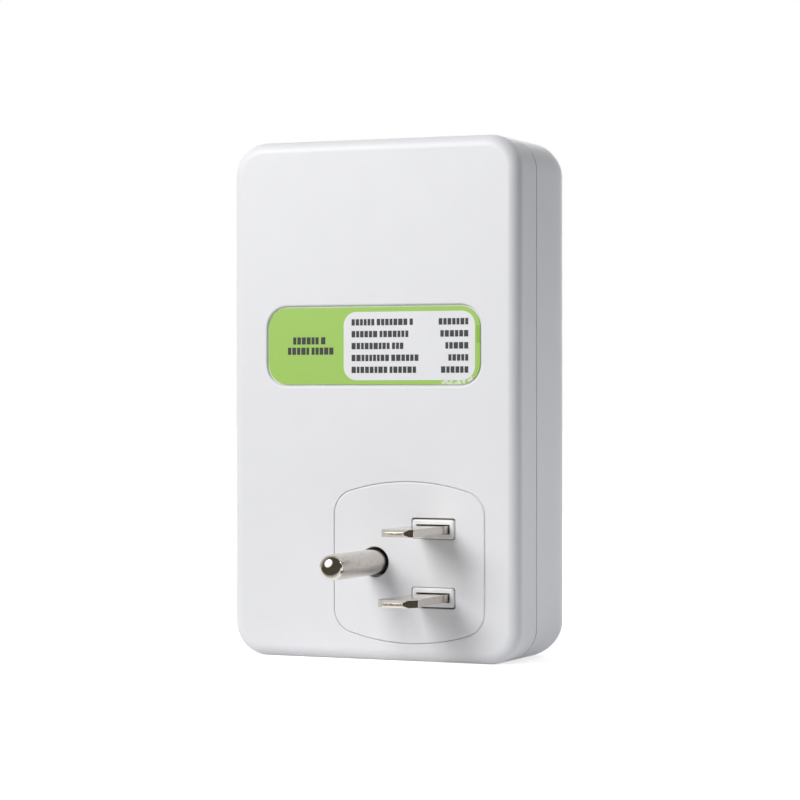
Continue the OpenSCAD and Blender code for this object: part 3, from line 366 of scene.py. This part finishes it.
strip_round = 0.06 * MM
tip_skin = 0.05 * MM
for name in ("line_blade", "neutral_blade"):
    blade_nickel = plated(name + "_nickel", dark=(0.53, 0.49, 0.44), light=(0.68, 0.64, 0.585),
        gloss=0.08, stretch=(1, 0.08, 1), tip=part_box(name)[1].y - tip_skin)
    blade = copy_of(name)
    round_edges(blade, strip_round, lambda p: True, sharpness=20)
    smooth(blade, angle=24)
    give(blade, blade_nickel)
    seat(blade, "casing", "plated_blade", name)

# Ground pin. Turned from brass rod and nickel plated, with tiny pits along its shank. Its round
# end is polished and a little flattened. The neck inside the plate's hole and the first 0.35 mm
# of the shank above the face are painted near-black: painted shade for the dark hole, and a
# painted reflection of it on the shank.
shank_end = 18.35 * MM
# How far up the shank, above the face, the painted shade of the hole reaches.
painted_dark_end = 0.35 * MM
pit_width = 0.32 * MM
pit_level = 0.65
pit_depth = 0.01 * MM
ripple_width = 0.4 * MM
ripple_depth = 0.006 * MM
tint_width = 1.5 * MM
polish = 0.04
shank_sheen = 0.12
sheen_width = 0.8 * MM
sheen_spread = 0.06
pin_nickel, pin_place = start_finish("pin_nickel")
along = pin_place.node("SeparateXYZ", {}, {"Vector": pin_place}, output=1)
shank = along < shank_end
# Painted shade and painted reflection: near-black from the pin's foot to just above the face.
painted_dark_root = along < painted_dark_end
pits = (noise(pin_place, pit_width, detail=3) > pit_level) * shank
plain = between(pin_place, (0.60, 0.56, 0.51), (0.69, 0.65, 0.60), noise(pin_place, tint_width))
pitted = between(pin_place, plain, (0.25, 0.20, 0.15), pits)
set_surface(pin_nickel, {
    "Base Color": between(pin_place, pitted, (0.05, 0.055, 0.06), painted_dark_root),
    "Metallic": 1.0,
    "Roughness": polish + shank_sheen * shank + sheen_spread * noise(pin_place, sheen_width),
    "Normal": raised(pin_place,
        noise(pin_place, ripple_width) * shank * ripple_depth - pits * pit_depth, 1.0),
})
pin_radius = 2.4 * MM
root_round = 0.06 * MM
dome = 1.9 * MM
dome_steps = 24
neck_radius = 2.2 * MM
seat_radius = 2.6 * MM
spigot_radius = 1.2 * MM
rivet_radius = 1.9 * MM
pin_sides = 96
least_radius = 0.0001 * MM
pin_low, pin_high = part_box("ground_pin")
pin_tip = pin_high.y
pin_back = pin_low.y
collar_radius = pin_high.x
rivet_top = pin_back + 0.5 * MM
seat_top = plate_low.y
seat_back = seat_top - 3 * MM
collar_top = seat_back + 1 * MM
quarter_turns = [math.pi / 2 * i / dome_steps for i in range(dome_steps)]
round_end = [(pin_radius * math.cos(turn), pin_tip - dome + dome * math.sin(turn))
    for turn in quarter_turns]
profile = [(rivet_radius, pin_back), (rivet_radius, rivet_top),
    (spigot_radius, rivet_top), (spigot_radius, seat_back), (collar_radius, seat_back),
    (collar_radius, collar_top), (seat_radius, collar_top), (seat_radius, seat_top),
    (neck_radius, seat_top), (neck_radius, 0), (pin_radius - root_round, 0),
    (pin_radius, root_round)] + round_end + [(0.0, pin_tip)]
bpy.ops.object.select_all(action="DESELECT")
bpy.ops.mesh.primitive_circle_add(vertices=pin_sides, radius=rivet_radius, fill_type="NGON",
    location=(0, pin_back, 0), rotation=(math.pi / 2, 0, 0))
ground_pin = bpy.context.view_layer.objects.active
ground_pin.name = "ground_pin_finished"
bpy.ops.object.transform_apply()
bpy.ops.object.mode_set(mode="EDIT")
for (radius_a, y_a), (radius_b, y_b) in zip(profile, profile[1:]):
    bpy.ops.mesh.extrude_region_move(TRANSFORM_OT_translate={"value": (0, y_b - y_a, 0)})
    share = max(radius_b, least_radius) / radius_a
    bpy.ops.transform.resize(value=(share, 1, share), center_override=(0, y_b, 0))
bpy.ops.mesh.select_all(action="SELECT")
bpy.ops.mesh.remove_doubles(threshold=weld)
bpy.ops.mesh.normals_make_consistent(inside=False)
bpy.ops.object.mode_set(mode="OBJECT")
smooth(ground_pin)
give(ground_pin, pin_nickel)
seat(ground_pin, "casing", "plated_pin", "ground_pin")

# Rating label. A laminated film with a green ground and a white panel, where rows of plain
# blocks stand for the print. It lies in its recess, which it doesn't quite fill. Near its right
# end a darker green band is painted as the shade of a fold, and pale specks on its lower right
# corner are a painted highlight where glare falls.
# Painted shade: a darker green band near the label's right end stands for the shade of a fold.
fold_shade_left = -20.55 * MM
fold_shade_low = 40.9 * MM
fold_shade_high = 44.2 * MM
# Painted highlight: pale specks on the label's lower right corner stand for glare there.
painted_glare_left = -13.6 * MM
painted_glare_right = -20.2 * MM
painted_glare_top = 34.75 * MM
painted_glare_speck = 0.5 * MM
painted_glare_level = 0.46
painted_glare_share = 0.7
film_width = 4 * MM
coat_width = 12 * MM
swell_width = 7 * MM
swell_depth = 0.02 * MM
label_green, label_place = start_finish("label_green")
across = label_place.node("SeparateXYZ", {}, {"Vector": label_place}, output=0)
upward = label_place.node("SeparateXYZ", {}, {"Vector": label_place}, output=2)
# Painted shade of a fold: the band where the green is darker.
fold_shade = (across < fold_shade_left) * (upward > fold_shade_low) * (upward < fold_shade_high)
# Painted highlight: pale specks of glare on the lower right corner.
painted_glare = ((noise(label_place, painted_glare_speck, detail=3) > painted_glare_level) * (across < painted_glare_left)
    * (across > painted_glare_right) * (upward < painted_glare_top))
green = between(label_place, (0.345, 0.585, 0.095), (0.25, 0.48, 0.03), fold_shade)
set_surface(label_green, {
    "Base Color": between(label_place, green, (0.85, 0.88, 0.80), painted_glare * painted_glare_share),
    "Roughness": 0.38 + 0.05 * noise(label_place, film_width),
    "Coat Weight": 0.35 + 0.1 * noise(label_place, coat_width),
    "Coat Roughness": 0.22,
    "Normal": raised(label_place, noise(label_place, swell_width), swell_depth, strength=0.4),
})
dress(["rating_label"], label_green)
panel_cloud = 6 * MM
panel_sheen = 5 * MM
panel_white, panel_place = start_finish("panel_white")
set_surface(panel_white, {
    "Base Color": between(panel_place, (0.80, 0.80, 0.81), (0.84, 0.84, 0.85),
        noise(panel_place, panel_cloud)),
    "Roughness": 0.4 + 0.05 * noise(panel_place, panel_sheen),
    "Coat Weight": 0.3,
})
ink_speck = 0.3 * MM
ink_grey, ink_place = start_finish("ink_grey")
set_surface(ink_grey, {
    "Base Color": between(ink_place, (0.018, 0.018, 0.021), (0.032, 0.032, 0.036),
        noise(ink_place, ink_speck)),
    "Roughness": 0.45,
})
ink_step = 0.02 * MM


def printed_block(middle, width, height, name, corner=0.0, steps=1):
    """A flat block of print that stands one layer of ink above its middle's depth."""
    bpy.ops.object.select_all(action="DESELECT")
    bpy.ops.mesh.primitive_cube_add(size=1, location=middle + Vector((0, ink_step / 2, 0)),
        scale=(width, ink_step, height))
    block = bpy.context.view_layer.objects.active
    block.name = name
    bpy.ops.object.transform_apply()
    if corner:
        bpy.ops.object.mode_set(mode="EDIT")
        bpy.ops.mesh.select_mode(type="EDGE")
        bpy.ops.mesh.select_all(action="DESELECT")
        bpy.ops.object.mode_set(mode="OBJECT")
        for edge in block.data.edges:
            a, b = (block.data.vertices[i].co for i in edge.vertices)
            edge.select = abs(a.y - b.y) > ink_step / 2
        bpy.ops.object.mode_set(mode="EDIT")
        bpy.ops.mesh.bevel(offset=corner, segments=steps, affect="EDGES")
        bpy.ops.object.mode_set(mode="OBJECT")
    return block


def joined(pieces, name):
    """Several blocks as one piece."""
    bpy.ops.object.select_all(action="DESELECT")
    for piece in pieces:
        piece.select_set(True)
    bpy.context.view_layer.objects.active = pieces[0]
    bpy.ops.object.join()
    pieces[0].name = name
    return pieces[0]


draw = random.Random(7)


def row_of_print(left, right, z, height, depth, flush=False):
    """Blocks of uneven width from left to right, with wider gaps where words would part."""
    narrow = 0.55
    wide = 0.9
    least = 0.45 * MM
    block_gap = 0.2 * MM
    word_gap = 0.5 * MM
    shortest_word = 4
    longest_word = 8
    places = []
    x = left
    run = 0
    while x - right > least:
        width = min(draw.uniform(narrow, wide) * MM, x - right)
        places.append((x - width / 2, width))
        run += 1
        gap = block_gap
        if run > draw.randint(shortest_word, longest_word):
            gap = word_gap
            run = 0
        x -= width + gap
    last_x, last_width = places[-1]
    shift = right - (last_x - last_width / 2) if flush else 0
    return [printed_block(Vector((x + shift, depth, z)), width, height, "print")
        for x, width in places]


label_low, label_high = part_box("rating_label")
label_top = label_high.y
label_middle = (label_low + label_high) / 2
panel_size = Vector((26.8, 0, 12.85)) * MM
panel_middle = Vector((-6.9 * MM, label_top, label_middle.z - 0.05 * MM))
panel_corner = 2.6 * MM
label_panel = printed_block(panel_middle, panel_size.x, panel_size.z, "label_panel",
    corner=panel_corner, steps=10)
give(label_panel, panel_white)
seat(label_panel, "casing", "label_green")
row_pitch = 2.235 * MM
row_height = 1.2 * MM
text_left = 4.84 * MM
text_right = -18.94 * MM
left_lengths = [12.6, 11.8, 11.3, 14.6, 13.6]
right_lengths = [6.2, 6.2, 5.2, 4.8, 5.5]
middle_row = len(left_lengths) // 2
title_rows = [(17.1, 10.15, 41.55), (18.2, 8.3, 39.6)]
title_height = 1.35 * MM
print_depth = label_top + ink_step
blocks = []
for row, (left_length, right_length) in enumerate(zip(left_lengths, right_lengths)):
    z = panel_middle.z + (middle_row - row) * row_pitch
    blocks += row_of_print(text_left, text_left - left_length * MM, z, row_height, print_depth)
    blocks += row_of_print(text_right + right_length * MM, text_right, z, row_height,
        print_depth, flush=True)
for left, right, z in title_rows:
    blocks += row_of_print(left * MM, right * MM, z * MM, title_height, label_top)
label_print = joined(blocks, "label_print")
give(label_print, ink_grey)
seat(label_print, "casing", "label_green")

# Case screws, under the rating label, and the board's screws. Zinc-plated steel with a rolled
# thread and a cross in the head, driven straight into the shells' bosses.
screw_zinc = plated("screw_zinc", dark=(0.50, 0.50, 0.50), light=(0.64, 0.64, 0.63),
    gloss=0.28, stretch=(1, 1, 1))
dress(["case_screws", "board_screws"], screw_zinc)

# Outlet face. Another white moulding, flush with the front face, with two slots and the round
# ground hole for the appliance's plug.
outlet_face = copy_of("outlet_face")
round_edges(outlet_face, edge_round, at_front)
smooth(outlet_face)
give(outlet_face, white_plastic)
seat(outlet_face, "casing", "shell_white", "outlet_face")

# Contacts of the outlet, bent from spring brass. They stand in pockets of a dark moulding
# behind the outlet face, which keeps them apart.
contact_brass = plated("contact_brass", dark=(0.62, 0.44, 0.18), light=(0.80, 0.60, 0.28),
    gloss=0.2, stretch=(1, 0.1, 1))
dress(["line_contact", "neutral_contact", "ground_contact"], contact_brass)
housing_black = moulded("housing_black", dark=(0.022, 0.022, 0.024), light=(0.035, 0.035, 0.038))
dress(["contact_housing"], housing_black)

# Status label. The same green film as on the back, with a hole for each of the three lenses. A
# white ring is printed round each lens, and plain blocks stand for the words.
status_green = moulded("status_green", dark=(0.335, 0.575, 0.09), light=(0.355, 0.60, 0.10),
    gloss=0.36, grain=0.8 * MM, depth=0.003 * MM)
dress(["status_label"], status_green)
lens_pitch = 8.5 * MM
ring_inner = 1.85 * MM
ring_outer = 2.3 * MM
ring_sides = 64
status_low, status_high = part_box("status_label")
status_middle = (status_low + status_high) / 2
lens_places = [status_middle.x + step * lens_pitch for step in (-1, 0, 1)]
ring_middle = Vector((lens_places[0], status_low.y, status_middle.z))
ring_share = ring_outer / ring_inner
bpy.ops.object.select_all(action="DESELECT")
bpy.ops.mesh.primitive_circle_add(vertices=ring_sides, radius=ring_inner, fill_type="NOTHING",
    location=ring_middle, rotation=(math.pi / 2, 0, 0))
bpy.ops.object.transform_apply()
bpy.ops.object.mode_set(mode="EDIT")
bpy.ops.mesh.extrude_region_move(TRANSFORM_OT_translate={"value": (0, 0, 0)})
bpy.ops.transform.resize(value=(ring_share, 1, ring_share), center_override=ring_middle)
bpy.ops.mesh.select_all(action="SELECT")
bpy.ops.mesh.extrude_region_move(TRANSFORM_OT_translate={"value": (0, -ink_step, 0)})
bpy.ops.mesh.select_all(action="SELECT")
bpy.ops.mesh.normals_make_consistent(inside=False)
bpy.ops.object.mode_set(mode="OBJECT")
rings = [bpy.context.view_layer.objects.active]
for _ in lens_places[1:]:
    bpy.ops.object.duplicate(linked=False)
    bpy.ops.transform.translate(value=(lens_pitch, 0, 0))
    bpy.ops.object.transform_apply()
    rings.append(bpy.context.view_layer.objects.active)
lens_rings = joined(rings, "lens_rings")
give(lens_rings, panel_white)
seat(lens_rings, "casing", "label_green")
words_half = 9 * MM
words_rise = 4.9 * MM
caption_half = 2.7 * MM
caption_drop = 4.2 * MM
caption_height = 0.9 * MM
caption_depth = status_low.y - ink_step
captions = row_of_print(status_middle.x + words_half, status_middle.x - words_half,
    status_middle.z + words_rise, title_height, caption_depth)
for x in lens_places:
    captions += row_of_print(x + caption_half, x - caption_half,
        status_middle.z - caption_drop, caption_height, caption_depth)
status_print = joined(captions, "status_print")
give(status_print, ink_grey)
seat(status_print, "casing", "label_green")

# Lenses. Three light pipes of clear plastic tinted red, amber and green, pushed into the front
# face. Behind each stands a lamp with a milky body, soldered to the board.
red = (0.62, 0.035, 0.025)
amber = (0.80, 0.36, 0.03)
green_tint = (0.04, 0.42, 0.09)
scratch_width = 1 * MM
lens_tinted, lens_place = start_finish("lens_tinted")
sideways = lens_place.node("SeparateXYZ", {}, {"Vector": lens_place}, output=0)
warm = between(lens_place, amber, red, sideways > lens_places[1] + lens_pitch / 2)
set_surface(lens_tinted, {
    "Base Color": between(lens_place, warm, green_tint,
        sideways < lens_places[1] - lens_pitch / 2),
    "Roughness": 0.12 + 0.08 * noise(lens_place, scratch_width),
    "Transmission Weight": 0.3,
})
dress(["lamp_lenses"], lens_tinted)
lamp_milk = moulded("lamp_milk", dark=(0.62, 0.62, 0.60), light=(0.72, 0.72, 0.70), gloss=0.12)
dress(["status_lamps"], lamp_milk)

# Circuit board. Glass epoxy under green solder mask, with the weave just showing through. Four
# screws hold it to the front shell's bosses.
weave = 6 * MM
weave_depth = 0.01 * MM
mask_patch = 2 * MM
board_mask, board_place = start_finish("board_mask")
warp, weft = (board_place.node("TexWave", {"bands_direction": direction},
    {"Vector": board_place, "Scale": 1 / weave}) for direction in "XZ")
threads = warp * weft
set_surface(board_mask, {
    "Base Color": between(board_place, (0.010, 0.085, 0.035), (0.018, 0.12, 0.05), threads),
    "Roughness": 0.28 + 0.1 * noise(board_place, mask_patch),
    "Normal": raised(board_place, threads, weave_depth),
})
dress(["main_board"], board_mask)

# Relay. A blue moulded case on a black base; inside, a white bobbin with its copper winding,
# plated iron parts, and contacts on copper-alloy strip.
relay_blue = moulded("relay_blue", dark=(0.012, 0.055, 0.26), light=(0.02, 0.08, 0.33), gloss=0.3)
dress(["relay_case"], relay_blue)
relay_black = moulded("relay_black", dark=(0.016, 0.016, 0.017), light=(0.026, 0.026, 0.027))
dress(["relay_base"], relay_black)
bobbin_nylon = moulded("bobbin_nylon", dark=(0.72, 0.71, 0.66), light=(0.79, 0.78, 0.73),
    gloss=0.3)
dress(["relay_bobbin"], bobbin_nylon)
winding = 0.9 * MM
winding_depth = 0.03 * MM
coil_copper, coil_place = start_finish("coil_copper")
turns = coil_place.node("TexWave", {"bands_direction": "Y"},
    {"Vector": coil_place, "Scale": 1 / winding})
set_surface(coil_copper, {
    "Base Color": between(coil_place, (0.20, 0.055, 0.02), (0.50, 0.19, 0.08), turns),
    "Metallic": 0.8,
    "Roughness": 0.3,
    "Normal": raised(coil_place, turns, winding_depth),
})
dress(["relay_coil"], coil_copper)
relay_iron = plated("relay_iron", dark=(0.44, 0.44, 0.43), light=(0.58, 0.58, 0.56),
    gloss=0.3, stretch=(1, 1, 1))
dress(["relay_core", "relay_yoke", "relay_armature"], relay_iron)
contact_strip = plated("contact_strip", dark=(0.60, 0.38, 0.22), light=(0.74, 0.50, 0.32),
    gloss=0.24, stretch=(0.1, 1, 1))
dress(["relay_contact_spring", "relay_fixed_contact"], contact_strip)
tinned = plated("tinned", dark=(0.62, 0.62, 0.62), light=(0.76, 0.76, 0.76),
    gloss=0.22, stretch=(1, 0.1, 1))
dress(["relay_coil_pins"], tinned)

# Parts on the board: a yellow boxed film capacitor, a dipped blue varistor, sleeved cans,
# moulded black diodes and chips, and lacquered resistors. Their leads go through the board.
film_yellow = moulded("film_yellow", dark=(0.58, 0.33, 0.03), light=(0.68, 0.41, 0.05),
    gloss=0.28)
dress(["film_capacitor"], film_yellow)
varistor_blue = moulded("varistor_blue", dark=(0.012, 0.07, 0.28), light=(0.02, 0.1, 0.36),
    gloss=0.2, grain=1.2 * MM, depth=0.03 * MM)
dress(["surge_varistor"], varistor_blue)
can_sleeve = moulded("can_sleeve", dark=(0.008, 0.013, 0.045), light=(0.015, 0.022, 0.07),
    gloss=0.2)
dress(["smoothing_capacitor", "filter_capacitor"], can_sleeve)
moulded_black = moulded("moulded_black", dark=(0.014, 0.014, 0.015), light=(0.025, 0.025, 0.026))
dress(["rectifier_diodes", "zener_diode", "flyback_diode", "voltage_regulator",
    "relay_transistor", "control_chip"], moulded_black)
resistor_beige = moulded("resistor_beige", dark=(0.44, 0.30, 0.15), light=(0.54, 0.39, 0.21),
    gloss=0.35)
dress(["power_resistors", "sensing_resistors"], resistor_beige)
resistor_green = moulded("resistor_green", dark=(0.02, 0.14, 0.06), light=(0.035, 0.19, 0.085),
    gloss=0.4)
dress(["fusible_resistor"], resistor_green)

# Wires. Stranded copper in smooth black, red and white PVC, soldered to the board at one end
# and to a blade's foot or the outlet's contact at the other.
for name, dark, light in (("line_in_wire", (0.012, 0.012, 0.012), (0.02, 0.02, 0.02)),
        ("line_out_wire", (0.32, 0.012, 0.012), (0.42, 0.02, 0.02)),
        ("neutral_wire", (0.66, 0.66, 0.65), (0.74, 0.74, 0.73))):
    dress([name], moulded(name + "_pvc", dark, light, gloss=0.32, grain=0.6 * MM))


# Floor. A wide matt table, palest beside the adapter, where it throws light back on its lower
# right corner, and greyer further off. The camera and glass see it white. So does gloss behind
# the adapter, but on the plug's side metal mirrors it as a dark, warm room.
def limited(flow, low=0):
    """The value, kept between low and 1."""
    return flow.math("MINIMUM", flow.math("MAXIMUM", flow, low), 1)


def any_of(flow, *rays):
    """1 for the named kinds of ray, 0 for the rest."""
    found = flow.node("LightPath", {}, {}, output=rays[0])
    for ray in rays[1:]:
        found = flow.math("MAXIMUM", found, flow.node("LightPath", {}, {}, output=ray))
    return found


floor_z = cad_low.z
floor_width = 6
pale_middle = (-0.075, -0.02, floor_z)
pale_reach = 0.05
fade_length = 0.125
gloom_slope = 60
gloom_colour = (0.095, 0.085, 0.065, 1)
least_gloom = 0.12
bpy.ops.object.select_all(action="DESELECT")
bpy.ops.mesh.primitive_plane_add(size=floor_width, location=(0, 0, floor_z))
floor = bpy.context.view_layer.objects.active
floor.name = "floor"
bpy.ops.object.transform_apply()
floor_white, floor_place = start_finish("floor_white")
floor_tree = floor_white.node_tree
away = floor_place.node("VectorMath", {"operation": "DISTANCE"},
    {0: floor_place, 1: pale_middle}, output=1)
grey = limited(away * (1 / fade_length) - pale_reach / fade_length)
set_surface(floor_white, {
    "Base Color": between(floor_place, (0.92, 0.92, 0.93), (0.42, 0.42, 0.43), grey),
    "Roughness": 0.9,
})
shown = any_of(floor_place, "Is Camera Ray", "Is Glossy Ray", "Is Transmission Ray")
glow_colour = between(floor_place, (0.66, 0.66, 0.66), (0.96, 0.96, 0.96), grey)
glow = floor_place.node("Emission", {}, {"Color": glow_colour, "Strength": 1.0})
matt_floor = Flow(floor_tree, floor_tree.nodes["Principled BSDF"].outputs["BSDF"])
lit_floor = floor_place.node("AddShader", {}, {0: matt_floor, 1: glow})
seen_floor = floor_place.node("MixShader", {}, {0: shown, 1: matt_floor, 2: lit_floor})
ahead = floor_place.node("SeparateXYZ", {}, {"Vector": floor_place}, output=1)
far = limited(ahead * gloom_slope - 1)
gloom = floor_place.node("Emission", {}, {"Color": gloom_colour, "Strength": 1.0})
mirrored = any_of(floor_place, "Is Glossy Ray") * (least_gloom + (1 - least_gloom) * far)
whole_floor = floor_place.node("MixShader", {}, {0: mirrored, 1: seen_floor, 2: gloom})
floor_tree.links.new(whole_floor.socket, floor_tree.nodes["Material Output"].inputs["Surface"])
give(floor, floor_white)


# Lamps. A large soft lamp stands high on the left and lights the rear face. A small faint one,
# low on the right, lights the seam side, and two more behind the adapter lighten its outline.
def soft_lamp(name, way, aim, distance, watts, shape, size, height=None, tint=(1, 1, 1)):
    """A flat lamp that far from the place it is aimed at, which the camera doesn't see."""
    data = bpy.data.lights.new(name, "AREA")
    data.shape = shape
    data.size = size
    if height:
        data.size_y = height
    data.energy = watts
    data.color = tint
    lamp = bpy.data.objects.new(name, data)
    lamp.location = aim + way * distance
    lamp.rotation_euler = way.to_track_quat("Z", "Y").to_euler()
    lamp.visible_camera = False
    bpy.context.scene.collection.objects.link(lamp)


label_foot = Vector((0, 0, 0.03))
side_foot = Vector((-0.03, -0.015, -0.01))
key_way = Vector((0.385, 0.76, 0.52)).normalized()
fill_way = Vector((-0.72, -0.66, 0.10)).normalized()
rim_way = Vector((-0.50, -0.50, 0.70)).normalized()
front_way = Vector((0.25, -0.94, 0.22)).normalized()
soft_lamp("key", key_way, label_foot, distance=0.6, watts=2.93, shape="ELLIPSE", size=0.3,
    height=0.44)
soft_lamp("fill", fill_way, side_foot, distance=0.2, watts=0.062, shape="DISK", size=0.1,
    tint=(0.93, 0.965, 1.0))
soft_lamp("rim", rim_way, label_foot, distance=0.5, watts=0.2, shape="DISK", size=0.2,
    tint=(0.95, 0.975, 1.0))
soft_lamp("front", front_way, label_foot, distance=0.6, watts=0.8, shape="DISK", size=0.3)

# Room. Plain and even for matt surfaces, a little brighter on the left and overhead. Metal and
# gloss mirror pale walls behind the adapter, a bright panel where the large lamp stands, and a
# dark, warm room on the plug's side. The camera and glass see white.
wall_level = 0.2
wall_by_plug = 0.9
wall_by_left = 0.3
dark_side = 0.09
panel_slope = 20
panel_edge = 16.9
panel_strength = 1.5
room_level = 0.23
room_by_left = 0.18
room_by_plug = 0.03
room_by_top = 0.07
world = bpy.data.worlds.new("room")
bpy.context.scene.world = world
world.use_nodes = True
background = world.node_tree.nodes["Background"]
air = Flow(world.node_tree)
way = air.node("TexCoord", {}, {}, output="Generated")
leftward, plugward, upward = (way.node("SeparateXYZ", {}, {"Vector": way}, output=axis)
    for axis in range(3))
wall = limited(wall_level - wall_by_plug * plugward + wall_by_left * leftward, dark_side)
toward_key = way.node("VectorMath", {"operation": "DOT_PRODUCT"}, {0: way, 1: tuple(key_way)},
    output=1)
panel = limited(toward_key * panel_slope - panel_edge)
overhead = air.math("MAXIMUM", upward, 0)
around = (room_level + room_by_left * leftward - room_by_plug * plugward
    + room_by_top * overhead)
clear = any_of(air, "Is Camera Ray", "Is Transmission Ray")
glossy = any_of(air, "Is Glossy Ray") * (1 - clear)
matt = 1 - clear - glossy
strength = clear + glossy * (wall + panel_strength * panel) + matt * around
cool = between(air, (1, 1, 1), (0.955, 0.975, 1.02), matt)
tint = between(air, cool, (1, 0.9, 0.74), glossy * (1 - wall) * (1 - panel))
world.node_tree.links.new(strength.socket, background.inputs["Strength"])
world.node_tree.links.new(tint.socket, background.inputs["Color"])

bpy.context.scene.view_settings.view_transform = "Standard"
